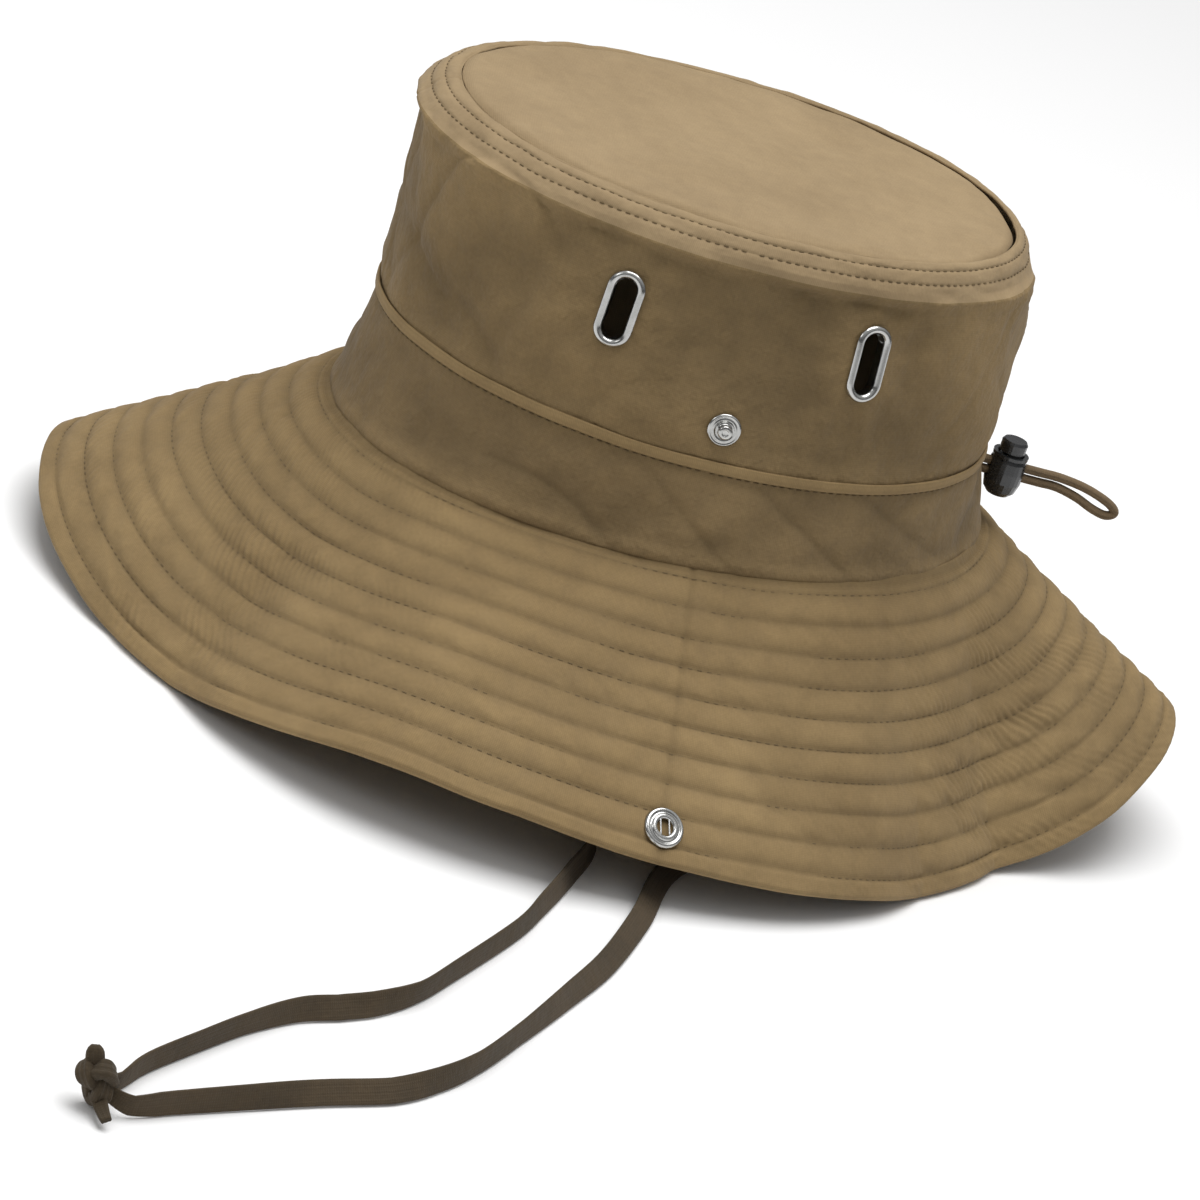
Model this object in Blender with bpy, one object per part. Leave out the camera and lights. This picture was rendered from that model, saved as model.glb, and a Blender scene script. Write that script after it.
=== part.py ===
"""Wide-brim boonie hat: crown, quilted brim with two snap-up sides, drawcord with lock, vents and chin strap.

Units are metres, +Z is up, the front of the hat faces -Y and the wearer's left side faces +X.
The hat stands on its brim; the crown is drawn about its own centre and then moved by HAT_SHIFT.
"""
import math

import bmesh
import bpy
from mathutils import Matrix, Vector

MM = 0.001

# ---- crown rings: half width (X), half length (Y), centre Y, height, rise per mm of Y ----
BASE_RING = (83.5, 101.0, 0.0, 74.6, 0.067)
RIDGE_RING = (80.5, 94.5, -1.5, 107.4, 0.02)
FOLD_RING = (75.0, 95.0, -7.5, 162.5, 0.0)
TIP_RING = (67.0, 86.0, -5.7, 176.0, 0.01)
ROUNDNESS = 2.06            # exponent of the ovals above the ridge
CLOTH = 0.8                 # crown cloth thickness
GAP = 0.3                   # air left between sewn layers

# ---- brim: width along its slope and the downward slope every 15 degrees, from the right side round the front ----
BRIM_WIDTH = 92.0
BRIM_SLOPES = (46.0, 46.0, 48.0, 54.0, 43.0, 35.0, 38.0, 45.0, 49.5, 42.0, 35.0, 36.0,
               41.0, 46.0, 52.0, 60.5, 60.5, 42.0, 30.0, 43.0, 62.0, 57.0, 50.0, 47.0)
SIDE_SEAM = 2.0             # degrees behind the side centre
UNDER = (0.0, 0.6)
INTERLINING = (1.05, 1.5)
UPPER = (2.0, 2.6)
FOLD_OUT = {1: 101.0, -1: 99.0}  # distance of the left and right fold lines from the crown's centre plane
FOLD_SKEW = 8.8             # degrees the fold lines are turned in plan
FOLD_HEIGHT = {1: 65.0, -1: 66.1}  # the hinge lines pass just above the brim's highest point along them
FOLD_GAP = 0.35

# ---- hardware ----
SNAP_ALONG = 0.885          # socket position across the brim width
STUD_Y = -1.0
STUD_ABOVE_BASE = 45.0
STUD_RADIUS = 5.0
SOCKET_RADIUS = 6.2
VENT_Y = (-40.0, 35.0)
VENT_Z = (144.5, 147.0)
VENT_STRAIGHT = 6.0         # half length of the straight part of the oblong eyelet
CORD_RADIUS = 1.4
CORD_APART = 1.6            # half the distance between the two strands at the back
CORD_Z = 100.5
LOCK_Y = 104.0
LOOP_END = (141.0, 95.5)    # y and z of the end of the pull loop
TAPE_WIDTH = 7.0
TAPE_THICK = 1.2

KHAKI = (0.30, 0.235, 0.135)
KHAKI_DARK = (0.10, 0.078, 0.048)
NICKEL = (0.72, 0.71, 0.68)
BLACK = (0.015, 0.015, 0.017)
INNER = (0.24, 0.19, 0.12)


def clear_scene():
    for obj in list(bpy.data.objects):
        bpy.data.objects.remove(obj, do_unlink=True)


def material(name, color, rough, metal=0.0):
    mat = bpy.data.materials.new(name)
    mat.use_nodes = True
    shader = mat.node_tree.nodes["Principled BSDF"]
    shader.inputs["Base Color"].default_value = (*color, 1.0)
    shader.inputs["Roughness"].default_value = rough
    shader.inputs["Metallic"].default_value = metal
    mat.diffuse_color = (*color, 1.0)
    return mat


# ---- surfaces of the hat, in mm about the crown's centre ----
def oval(ring, angle, power=2.0):
    half_x, half_y, centre_y, height, rise = ring
    c, s = math.cos(angle), math.sin(angle)
    x = math.copysign(abs(c) ** (2.0 / power), c) * half_x
    y = math.copysign(abs(s) ** (2.0 / power), s) * half_y
    return Vector((x, y + centre_y, height + rise * y))


def brim_slope(angle):
    """Slope in radians: a periodic Catmull-Rom curve through BRIM_SLOPES, held up by the table."""
    count = len(BRIM_SLOPES)
    place = (math.degrees(angle) + 180.0) / 360.0 * count
    i = math.floor(place)
    t = place - i
    a, b, c, d = (BRIM_SLOPES[(i + k) % count] for k in (-1, 0, 1, 2))
    value = b + 0.5 * t * (c - a + t * (2 * a - 5 * b + 4 * c - d + t * (3 * (b - c) + d - a)))
    # the edge never goes below the table it stands on
    return min(math.radians(value), math.asin(oval(BASE_RING, angle).z / BRIM_WIDTH))


def brim_lower(angle, along):
    """Underside of the brim: along runs from 0 at the crown to 1 at the edge."""
    base = oval(BASE_RING, angle)
    out = Vector((math.cos(angle) / BASE_RING[0], math.sin(angle) / BASE_RING[1], 0.0)).normalized()
    slope = brim_slope(angle)
    point = base + out * math.cos(slope) * BRIM_WIDTH * along
    point.z -= math.sin(slope) * BRIM_WIDTH * along
    return point


def wall(angle, up):
    """Outside of the crown: 0 base, 1 ridge, 2 shoulder, 3 tip seam."""
    if up <= 1.0:
        low, high = oval(BASE_RING, angle), oval(RIDGE_RING, angle)
        return low.lerp(high, up)
    if up <= 2.0:
        low, high = oval(RIDGE_RING, angle), oval(FOLD_RING, angle, ROUNDNESS)
        t = up - 1.0
        bulge = oval(RIDGE_RING, angle) - Vector((0.0, RIDGE_RING[2], 0.0))
        bulge.z = 0.0
        return low.lerp(high, t) + bulge.normalized() * 1.2 * math.sin(math.pi * t)
    fold, tip = oval(FOLD_RING, angle, ROUNDNESS), oval(TIP_RING, angle, ROUNDNESS)
    turn = (up - 2.0) * math.pi / 2
    inward, rise = 1.0 - math.cos(turn), math.sin(turn)
    return Vector((fold.x + (tip.x - fold.x) * inward, fold.y + (tip.y - fold.y) * inward,
                   fold.z + (tip.z - fold.z) * rise))


def normal(surface, u, v):
    e = 1e-3
    side = surface(u + e, v) - surface(u - e, v)
    rise = surface(u, v + e) - surface(u, v - e)
    return side.cross(rise).normalized()


def brim_normal(angle, along):
    """Upward normal of the brim, averaged over about two degrees."""
    e = 0.02
    side = brim_lower(angle + e, along) - brim_lower(angle - e, along)
    out = brim_lower(angle, along + e) - brim_lower(angle, along - e)
    return out.cross(side).normalized()


def wall_normal(angle, up):
    return normal(wall, angle, min(max(up, 0.002), 2.998))


def brim_extent():
    """Centre of the brim outline in plan, so that the whole hat can be centred on the origin."""
    xs, ys = [], []
    for k in range(1440):
        edge = brim_lower(math.radians(k / 4.0), 1.0)
        top = edge + brim_normal(math.radians(k / 4.0), 1.0) * UPPER[1]
        xs += (edge.x, top.x)
        ys += (edge.y, top.y)
    return Vector(((max(xs) + min(xs)) / 2, (max(ys) + min(ys)) / 2, 0.0))


HAT_SHIFT = -brim_extent()


# ---- mesh helpers ----
def add_object(name, verts, faces, mat):
    mesh = bpy.data.meshes.new(name)
    mesh.from_pydata([(Vector(v) + HAT_SHIFT) * MM for v in verts], [], faces)
    mesh.update()
    bm = bmesh.new()
    bm.from_mesh(mesh)
    bmesh.ops.recalc_face_normals(bm, faces=bm.faces)
    bm.to_mesh(mesh)
    bm.free()
    obj = bpy.data.objects.new(name, mesh)
    bpy.context.scene.collection.objects.link(obj)
    mesh.materials.append(mat)
    return obj


def shell(name, surface, normals, us, vs, low, high, mat, closed=False):
    """Solid sheet between two offsets of a surface, low and high being mm along its normal."""
    verts, faces = [], []
    nu, nv = len(us), len(vs)
    for offset in (high, low):
        for u in us:
            for v in vs:
                verts.append(surface(u, v) + normals(u, v) * offset)
    size = nu * nv

    def at(layer, i, j):
        return layer * size + (i % nu) * nv + j

    for i in range(nu if closed else nu - 1):
        for j in range(nv - 1):
            # the same diagonal on both faces keeps neighbouring layers parallel
            faces.append((at(0, i, j), at(0, i + 1, j), at(0, i + 1, j + 1)))
            faces.append((at(0, i, j), at(0, i + 1, j + 1), at(0, i, j + 1)))
            faces.append((at(1, i, j), at(1, i + 1, j + 1), at(1, i + 1, j)))
            faces.append((at(1, i, j), at(1, i, j + 1), at(1, i + 1, j + 1)))
        for j in (0, nv - 1):
            faces.append((at(0, i, j), at(1, i, j), at(1, i + 1, j), at(0, i + 1, j)))
    if not closed:
        for i in (0, nu - 1):
            for j in range(nv - 1):
                faces.append((at(0, i, j), at(0, i, j + 1), at(1, i, j + 1), at(1, i, j)))
    return add_object(name, verts, faces, mat)


def basis(axis, hint=Vector((0.0, 0.0, 1.0))):
    axis = axis.normalized()
    if abs(axis.dot(hint)) > 0.95:
        hint = Vector((0.0, 1.0, 0.0))
    up = (hint - axis * hint.dot(axis)).normalized()
    return up.cross(axis), up, axis


def lathe(name, profile, centre, axis, mat, steps=24):
    """Body of revolution: the profile is a list of (radius, height); radius 0 makes a pole."""
    right, up, out = basis(axis)
    verts, faces, rings = [], [], []
    for radius, height in profile:
        if radius == 0.0:
            rings.append([len(verts)] * steps)
            verts.append(centre + out * height)
            continue
        rings.append(list(range(len(verts), len(verts) + steps)))
        for k in range(steps):
            a = 2 * math.pi * k / steps
            verts.append(centre + (right * math.cos(a) + up * math.sin(a)) * radius + out * height)
    solid = profile[0][0] == 0.0 and profile[-1][0] == 0.0
    pairs = list(zip(rings[:-1], rings[1:]))
    if not solid:
        pairs.append((rings[-1], rings[0]))
    for low, high in pairs:
        for k in range(steps):
            n = (k + 1) % steps
            corner = []
            for index in (low[k], low[n], high[n], high[k]):
                if index not in corner:
                    corner.append(index)
            faces.append(corner)
    return add_object(name, verts, faces, mat)


def oblong(name, profile, centre, axis, mat, straight, steps=12):
    """Ring swept round an upright oblong: the profile is a list of (offset from the middle line, height)."""
    right, up, out = basis(axis)
    spine = []
    for half in (0, 1):
        for k in range(steps + 1):
            a = math.pi * half + math.pi * k / steps
            spine.append((up * (straight if half == 0 else -straight), right * math.cos(a) + up * math.sin(a)))
    verts, faces = [], []
    for middle, ray in spine:
        for offset, height in profile:
            verts.append(centre + middle + ray * offset + out * height)
    count, turns = len(profile), len(spine)
    for i in range(turns):
        for j in range(count):
            n, m = (i + 1) % turns, (j + 1) % count
            faces.append((i * count + j, n * count + j, n * count + m, i * count + m))
    return add_object(name, verts, faces, mat)


def smooth_path(points, steps):
    """Catmull-Rom curve through the points, steps samples per span."""
    path = []
    for i in range(len(points) - 1):
        a, b = points[max(i - 1, 0)], points[i]
        c, d = points[i + 1], points[min(i + 2, len(points) - 1)]
        for k in range(steps):
            t = k / steps
            path.append(b + 0.5 * t * (c - a + t * (2 * a - 5 * b + 4 * c - d + t * (3 * (b - c) + d - a))))
    path.append(points[-1].copy())
    return path


def tube(name, path, radius, mat, closed=False, sides=8):
    count = len(path)
    verts, faces = [], []
    side = Vector((0.0, 0.0, 1.0))
    for i, point in enumerate(path):
        before = path[i - 1] if (i or closed) else point
        after = path[(i + 1) % count] if (i < count - 1 or closed) else point
        along = (after - before).normalized()
        side = (side - along * side.dot(along)).normalized()
        other = along.cross(side)
        for k in range(sides):
            a = 2 * math.pi * (k + 0.5) / sides
            verts.append(point + (side * math.cos(a) + other * math.sin(a)) * radius)
    for i in range(count if closed else count - 1):
        n = (i + 1) % count
        for k in range(sides):
            m = (k + 1) % sides
            faces.append((i * sides + k, i * sides + m, n * sides + m, n * sides + k))
    if not closed:
        faces.append(tuple(range(sides)))
        faces.append(tuple(range((count - 1) * sides, count * sides)))
    return add_object(name, verts, faces, mat)


def tape(name, route, mat, steps=3):
    """Flat tape along a route of (x, y, z, width direction) points."""
    path = smooth_path([Vector(p[:3]) for p in route], steps)
    ways = smooth_path([Vector(p[3]) for p in route], steps)
    verts, faces = [], []
    for i, point in enumerate(path):
        along = (path[min(i + 1, len(path) - 1)] - path[max(i - 1, 0)]).normalized()
        wide = (ways[i] - along * ways[i].dot(along)).normalized() * TAPE_WIDTH / 2
        thick = along.cross(wide).normalized() * TAPE_THICK / 2
        verts += (point + wide + thick, point - wide + thick, point - wide - thick, point + wide - thick)
    for i in range(len(path) - 1):
        for k in range(4):
            m = (k + 1) % 4
            faces.append((i * 4 + k, i * 4 + m, i * 4 + 4 + m, i * 4 + 4 + k))
    faces.append((0, 1, 2, 3))
    last = (len(path) - 1) * 4
    faces.append((last, last + 1, last + 2, last + 3))
    return add_object(name, verts, faces, mat)


def cut(obj, cutter):
    """Subtract the cutter from the object and bake the result into its mesh."""
    cutter.hide_render = True
    cutter.display_type = "WIRE"
    mod = obj.modifiers.new("hole", "BOOLEAN")
    mod.operation = "DIFFERENCE"
    mod.solver = "EXACT"
    mod.object = cutter
    graph = bpy.context.evaluated_depsgraph_get()
    graph.update()
    mesh = bpy.data.meshes.new_from_object(obj.evaluated_get(graph))
    old = obj.data
    obj.modifiers.clear()
    obj.data = mesh
    mesh.name = old.name
    bpy.data.meshes.remove(old)
    bpy.data.objects.remove(cutter, do_unlink=True)


def keep_side(source, name, planes):
    """Copy of an object keeping only what lies on the positive side of every (point, normal) plane."""
    obj = source.copy()
    obj.data = source.data.copy()
    obj.name = name
    obj.data.name = name
    bpy.context.scene.collection.objects.link(obj)
    bm = bmesh.new()
    bm.from_mesh(obj.data)
    for point, way in planes:
        geom = bm.verts[:] + bm.edges[:] + bm.faces[:]
        result = bmesh.ops.bisect_plane(bm, geom=geom, dist=1e-7, clear_inner=True,
                                        plane_co=(point + HAT_SHIFT) * MM, plane_no=way)
        rim = [e for e in result["geom_cut"] if isinstance(e, bmesh.types.BMEdge) and e.is_boundary]
        bmesh.ops.holes_fill(bm, edges=rim, sides=0)
    bmesh.ops.recalc_face_normals(bm, faces=bm.faces)
    bm.to_mesh(obj.data)
    bm.free()
    return obj


def set_origin(obj, point):
    place = (point + HAT_SHIFT) * MM
    obj.data.transform(Matrix.Translation(-place))
    obj.location = place


def spread(low, high, count):
    return [low + (high - low) * k / (count - 1) for k in range(count)]


# ---- fold lines of the two snap-up sides ----
def fold_plane(side):
    """Point on the fold axis, outward direction and axis direction; side is 1 for left, -1 for right."""
    turn = math.radians(FOLD_SKEW)
    out = Vector((side * math.cos(turn), math.sin(turn), 0.0))
    point = Vector((side * FOLD_OUT[side], 0.0, FOLD_HEIGHT[side]))
    return point, out, Vector((-side * out.y, side * out.x, 0.0))


def fold_parts(source, stem):
    planes = {s: fold_plane(s) for s in (1, -1)}
    parts = {}
    for side, label in ((1, "left_flap"), (-1, "right_flap")):
        point, out, axis = planes[side]
        part = keep_side(source, f"{stem}_{label}", [(point + out * FOLD_GAP, out)])
        set_origin(part, point)
        parts[label] = part
    root = [(planes[s][0] - planes[s][1] * FOLD_GAP, -planes[s][1]) for s in (1, -1)]
    parts["root"] = keep_side(source, stem, root)
    bpy.data.objects.remove(source, do_unlink=True)
    return parts


def build_brim(cloth, stiff):
    """Each cloth layer is a front and a back half sewn at the side seams; the fold lines cut them again."""
    pieces = []
    widths = [-0.015, 0.5, 1.0]
    seam = math.radians(SIDE_SEAM)
    slack = math.radians(0.12)
    halves = {"front": (-math.pi - seam + slack, seam - slack), "back": (seam + slack, math.pi - seam - slack)}
    for layer, depth in (("under", UNDER), ("upper", UPPER)):
        for half, (start, end) in halves.items():
            angles = spread(start, end, 37)
            whole = shell("whole", brim_lower, brim_normal, angles, widths, depth[0], depth[1], cloth)
            pieces.append(fold_parts(whole, f"brim_{layer}_{half}"))
    angles = [a for start, end in halves.values() for a in spread(start, end, 37)]
    widths = [0.03, 0.5, 0.965]
    ring = shell("whole", brim_lower, brim_normal, angles, widths, INTERLINING[0], INTERLINING[1], stiff, True)
    pieces.append(fold_parts(ring, "brim_interlining"))
    return pieces


def build_crown(cloth, inner):
    levels = [1.045, 1.5, 2.0, 2.35, 2.65, 2.96]
    half = math.pi / 2
    slack = 0.003
    sides = {}
    for name, start, end in (("crown_side_left", -half + slack, half - slack),
                             ("crown_side_right", half + slack, 3 * half - slack)):
        sides[name] = shell(name, wall, wall_normal, spread(start, end, 29), levels, -CLOTH, 0.0, cloth)
    angles = [2 * math.pi * k / 60 for k in range(60)]
    band = shell("crown_band", wall, wall_normal, angles, [0.085, 0.955], -CLOTH, 0.0, cloth, True)
    shell("crown_band_piping", wall, wall_normal, angles, [0.965, 1.035], -CLOTH, 1.3, cloth, True)
    shell("sweatband", wall, wall_normal, angles, [0.03, 0.97, 1.15], -5.7, -4.9, inner, True)
    build_tip(cloth)
    return sides, band


def build_tip(cloth):
    """Oval top panel, flat in the middle."""
    rings = (0.97, 0.8, 0.45)
    steps = 60
    verts, faces = [], []
    centre = Vector((0.0, TIP_RING[2], TIP_RING[3] + 1.2))
    for drop in (0.0, -CLOTH):
        for scale in rings:
            for k in range(steps):
                edge = oval(TIP_RING, 2 * math.pi * k / steps, ROUNDNESS)
                point = centre.lerp(edge, scale)
                point.z = centre.z - (centre.z - edge.z) * max(0.0, (scale - 0.8) / 0.2) + drop
                verts.append(point)
    levels = len(rings)
    for layer in (0, levels * steps):
        for i in range(levels - 1):
            for k in range(steps):
                n = (k + 1) % steps
                a = layer + i * steps
                faces.append((a + k, a + n, a + steps + n, a + steps + k))
        inner = layer + (levels - 1) * steps
        faces.append(tuple(range(inner, inner + steps)))
    for k in range(steps):
        n = (k + 1) % steps
        faces.append((k, n, levels * steps + n, levels * steps + k))
    add_object("crown_tip", verts, faces, cloth)


def wall_at(side, y, z):
    """Point and outward normal of the crown wall's outside at a given Y and height."""
    angle = math.asin((y - FOLD_RING[2] * 0.5) / 96.0)
    up = 1.5
    for _ in range(40):
        here = wall(angle, up)
        up += (z - here.z) / 60.0
        angle += (y - wall(angle, up).y) / 100.0
    centre, way = wall(angle, up), wall_normal(angle, up)
    return Vector((side * centre.x, centre.y, centre.z)), Vector((side * way.x, way.y, way.z))


def build_vents(sides, metal):
    ring = [(3.0, -2.7), (3.5, -2.7), (3.5, 0.3), (5.5, 0.3), (5.35, 0.9), (4.6, 1.35), (3.6, 1.25), (3.0, 0.6)]
    washer = [(3.8, -2.1), (5.5, -2.1), (5.5, -1.6), (3.8, -1.6)]
    for side, label in ((1, "left"), (-1, "right")):
        for place, y, z in (("front", VENT_Y[0], VENT_Z[0]), ("back", VENT_Y[1], VENT_Z[1])):
            centre, way = wall_at(side, y, z)
            cutter = oblong_cutter(centre, way, 3.8, VENT_STRAIGHT)
            cut(sides[f"crown_side_{label}"], cutter)
            oblong(f"vent_eyelet_{label}_{place}", ring, centre, way, metal, VENT_STRAIGHT, 8)
            oblong(f"vent_washer_{label}_{place}", washer, centre, way, metal, VENT_STRAIGHT, 8)


def oblong_cutter(centre, axis, radius, straight, reach=4.0):
    right, up, out = basis(axis)
    verts, count = [], 0
    for height in (-reach, reach):
        for half in (0, 1):
            for k in range(11):
                a = math.pi * half + math.pi * k / 10
                ray = right * math.cos(a) + up * math.sin(a)
                verts.append(centre + up * (straight if half == 0 else -straight) + ray * radius + out * height)
        count = len(verts) // (1 if height < 0 else 2)
    faces = [tuple(range(count)), tuple(range(count, 2 * count))]
    for k in range(count):
        n = (k + 1) % count
        faces.append((k, n, count + n, count + k))
    return add_object("cutter", verts, faces, bpy.data.materials[0])


def drill(obj, centre, axis, radius, reach=4.0, steps=20):
    cut(obj, lathe("cutter", [(0.0, -reach), (radius, -reach), (radius, reach), (0.0, reach)],
                   centre, axis, bpy.data.materials[0], steps))


def build_snaps(sides, brim, metal):
    for side, label in ((1, "left"), (-1, "right")):
        # stud on the crown wall, riveted through the cloth
        centre, way = wall_at(side, STUD_Y, BASE_RING[3] + STUD_ABOVE_BASE)
        drill(sides[f"crown_side_{label}"], centre, way, 1.6)
        stud = [(0.0, 1.1), (0.95, 1.1), (0.95, 0.3), (STUD_RADIUS, 0.3), (STUD_RADIUS, 0.8), (4.3, 1.15),
                (3.6, 1.0), (2.2, 1.0), (1.9, 1.9), (2.25, 2.6), (1.9, 3.3), (0.0, 3.5)]
        lathe(f"snap_stud_{label}", stud, centre, way, metal)
        post = [(0.0, -2.4), (4.6, -2.3), (4.8, -1.6), (0.75, -1.6), (0.75, 0.9), (0.0, 0.9)]
        lathe(f"snap_stud_post_{label}", post, centre, way, metal)
        # socket on the brim, with its cap underneath
        angle = math.radians(SIDE_SEAM) if side > 0 else math.pi - math.radians(SIDE_SEAM)
        centre, way = brim_lower(angle, SNAP_ALONG), brim_normal(angle, SNAP_ALONG)
        for parts in brim:
            drill(parts[f"{label}_flap"], centre, way, 2.3, 6.0)
        socket = [(2.5, 2.95), (SOCKET_RADIUS, 2.95), (SOCKET_RADIUS, 3.6), (5.6, 4.2), (4.6, 4.0),
                  (3.9, 4.5), (2.9, 4.6), (2.5, 4.1)]
        cap = [(1.3, 2.3), (1.3, -0.7), (0.0, -0.7), (0.0, -1.5), (3.8, -1.3), (5.8, -0.8), (5.8, -0.35),
               (1.9, -0.35), (1.9, 2.3)]
        point = fold_plane(side)[0]
        set_origin(lathe(f"snap_socket_{label}", socket, centre, way, metal), point)
        set_origin(snap_cap(f"snap_cap_{label}", cap, centre, way, metal), point)


def snap_cap(name, profile, centre, axis, metal):
    """Cap disc with a hollow rivet post, open at the top."""
    order = [(0.0, -0.7), (1.3, -0.7), (1.3, 2.3), (1.9, 2.3), (1.9, -0.35), (5.8, -0.35), (5.8, -0.8),
             (3.8, -1.3), (0.0, -1.5)]
    return lathe(name, order, centre, axis, metal)


def build_lock(black, steel):
    """Round spring lock: both strands pass through its slot along Y."""
    centre = Vector((0.0, LOCK_Y, CORD_Z))
    up = Vector((0.0, 0.0, 1.0))
    barrel = lathe("cord_lock_barrel", [(0.0, -8.1), (3.6, -8.1), (5.0, -6.6), (5.8, -3.6), (5.9, 0.0), (5.6, 3.2),
                                        (5.2, 4.2), (5.6, 4.5), (5.6, 5.5), (4.3, 5.5), (4.3, 3.5), (3.95, 3.5),
                                        (3.95, -6.9), (0.0, -6.9)], centre, up, black)
    slot = oblong_cutter(centre, Vector((0.0, 1.0, 0.0)), 1.9, 1.7, 9.0)
    cut(barrel, slot)
    plunger = lathe("cord_lock_plunger", [(0.0, -4.7), (3.7, -4.7), (3.7, 2.9), (2.4, 2.9), (2.4, 6.0), (4.1, 6.0),
                                          (4.15, 9.0), (3.6, 9.8), (0.0, 10.0)], centre, up, black)
    window = oblong_cutter(centre + up * 0.95, Vector((0.0, 1.0, 0.0)), 1.9, 2.4, 9.0)
    cut(plunger, window)
    coils = []
    for k in range(31):
        a = 2 * math.pi * k / 12
        coils.append(centre + Vector((3.35 * math.cos(a), 3.35 * math.sin(a), 3.9 + 1.65 * k / 30)))
    tube("cord_lock_spring", coils, 0.22, steel, sides=4)
    for name in ("cord_lock_barrel", "cord_lock_plunger", "cord_lock_spring"):
        set_origin(bpy.data.objects[name], centre)


def build_drawcord(band, mat):
    """One elastic loop: round the crown inside the band, out at the back through the lock."""
    slot = oblong_cutter(Vector((0.0, 95.5, CORD_Z)), Vector((0.0, 1.0, 0.0)), 2.2, 2.2, 4.0)
    cut(band, slot)
    route = [Vector((0.0, 93.1, CORD_Z + CORD_APART)), Vector((0.0, 97.0, CORD_Z + CORD_APART))]
    route += [Vector((0.0, y, CORD_Z + CORD_APART)) for y in (103.0, 109.0, 115.0, 121.0)]
    route += [Vector((0.0, 128.5, 101.2)), Vector((0.0, 134.5, 99.6)), Vector((0.0, 139.2, 97.6))]
    route += [Vector((0.0, LOOP_END[0], LOOP_END[1])), Vector((0.0, 138.6, 94.1)), Vector((0.0, 134.0, 95.0))]
    route += [Vector((0.0, 128.0, 97.3)), Vector((0.0, 121.0, CORD_Z - CORD_APART))]
    route += [Vector((0.0, y, CORD_Z - CORD_APART)) for y in (115.0, 109.0, 103.0, 97.0, 93.1)]
    turns = 48
    for k in range(turns + 1):
        a = math.pi / 2 + math.radians(3.6) + (2 * math.pi - 2 * math.radians(3.6)) * k / turns
        height = -CORD_APART + 2 * CORD_APART * k / turns
        point = wall(a, 0.69) - wall_normal(a, 0.69) * 2.8
        point.z += height + (CORD_Z - wall(math.pi / 2, 0.69).z) * max(0.0, math.sin(a))
        route.append(point)
    tube("drawcord", route, CORD_RADIUS, mat, closed=True, sides=8)


def build_chin_strap(mat, cloth):
    """Two tapes from tabs inside the crown base, laid along the table to one knot."""
    down, flat = Vector((0.0, 1.0, 0.0)), Vector((0.0, 0.0, 1.0))
    lean = Vector((0.35, 0.0, 1.0))
    left = [(74.5, 2.0, 68.0, down), (74.3, 3.0, 55.0, down), (70.0, 6.0, 38.0, down), (58.0, 14.0, 20.0, lean),
            (50.0, 30.0, 8.0, flat), (60.0, 46.0, 4.2, flat), (80.0, 47.0, 4.2, flat), (103.0, 34.0, 4.2, flat),
            (130.0, 15.0, 4.2, flat), (164.0, 4.0, 4.2, flat), (198.0, -9.0, 4.2, flat), (226.0, -23.0, 4.2, flat),
            (254.0, -38.0, 4.2, flat), (278.0, -52.0, 4.2, flat), (293.0, -64.0, 4.2, flat),
            (304.0, -77.0, 4.2, flat), (315.0, -97.0, 4.2, flat), (328.0, -118.0, 4.2, flat),
            (339.0, -136.0, 4.2, flat), (347.5, -148.5, 4.4, flat)]
    right = [(-74.5, 2.0, 68.0, down), (-74.0, 1.0, 52.0, down), (-68.0, 0.0, 30.0, down), (-50.0, -2.0, 12.0, lean),
             (-28.0, -4.0, 4.6, flat), (10.0, -6.0, 4.2, flat), (50.0, -5.0, 4.2, flat), (90.0, -4.0, 4.2, flat),
             (124.0, -7.0, 4.2, flat), (149.0, -16.0, 4.2, flat), (173.0, -26.0, 4.2, flat),
             (193.0, -35.0, 4.2, flat), (227.0, -55.0, 4.2, flat), (246.0, -67.0, 4.2, flat),
             (258.0, -79.0, 4.2, flat), (265.0, -90.0, 4.2, flat), (273.0, -102.0, 4.2, flat),
             (287.0, -116.0, 4.2, flat), (304.0, -130.0, 4.2, flat), (322.0, -144.0, 4.2, flat),
             (335.5, -151.5, 4.4, flat)]
    tape("chin_strap_left", left, mat)
    tape("chin_strap_right", right, mat)
    knot = [(0.0, -9.5), (2.6, -8.6), (3.4, -6.0), (4.6, -3.5), (4.9, 0.0), (4.4, 3.0), (2.9, 5.2), (3.3, 7.4),
            (2.2, 9.2), (0.0, 9.8)]
    lathe("chin_strap_knot", knot, Vector((345.5, -158.5, 5.0)), Vector((0.9, 0.3, 0.0)), mat, 20)
    for side, label in ((1, "left"), (-1, "right")):
        box = [Vector((side * x, 2.0 + y, z)) for x in (73.6, 75.4) for y in (-5.0, 5.0) for z in (68.4, 80.0)]
        faces = [(0, 1, 3, 2), (4, 6, 7, 5), (0, 4, 5, 1), (2, 3, 7, 6), (0, 2, 6, 4), (1, 5, 7, 3)]
        add_object(f"chin_strap_tab_{label}", box, faces, cloth)


def main():
    clear_scene()
    cloth = material("khaki_cloth", KHAKI, 0.85)
    stiff = material("brim_stiffener", INNER, 0.9)
    inner = material("sweatband_cloth", INNER, 0.9)
    tape_cloth = material("strap_tape", KHAKI_DARK, 0.85)
    cord = material("elastic_cord", (0.20, 0.145, 0.085), 0.85)
    metal = material("nickel", NICKEL, 0.25, 1.0)
    steel = material("spring_steel", (0.6, 0.6, 0.6), 0.3, 1.0)
    black = material("black_plastic", BLACK, 0.3)
    brim = build_brim(cloth, stiff)
    sides, band = build_crown(cloth, inner)
    build_vents(sides, metal)
    build_snaps(sides, brim, metal)
    build_drawcord(band, cord)
    build_lock(black, steel)
    build_chin_strap(tape_cloth, tape_cloth)


main()
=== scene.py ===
import math

import bmesh
import bpy
import numpy as np
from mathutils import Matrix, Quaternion, Vector


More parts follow.
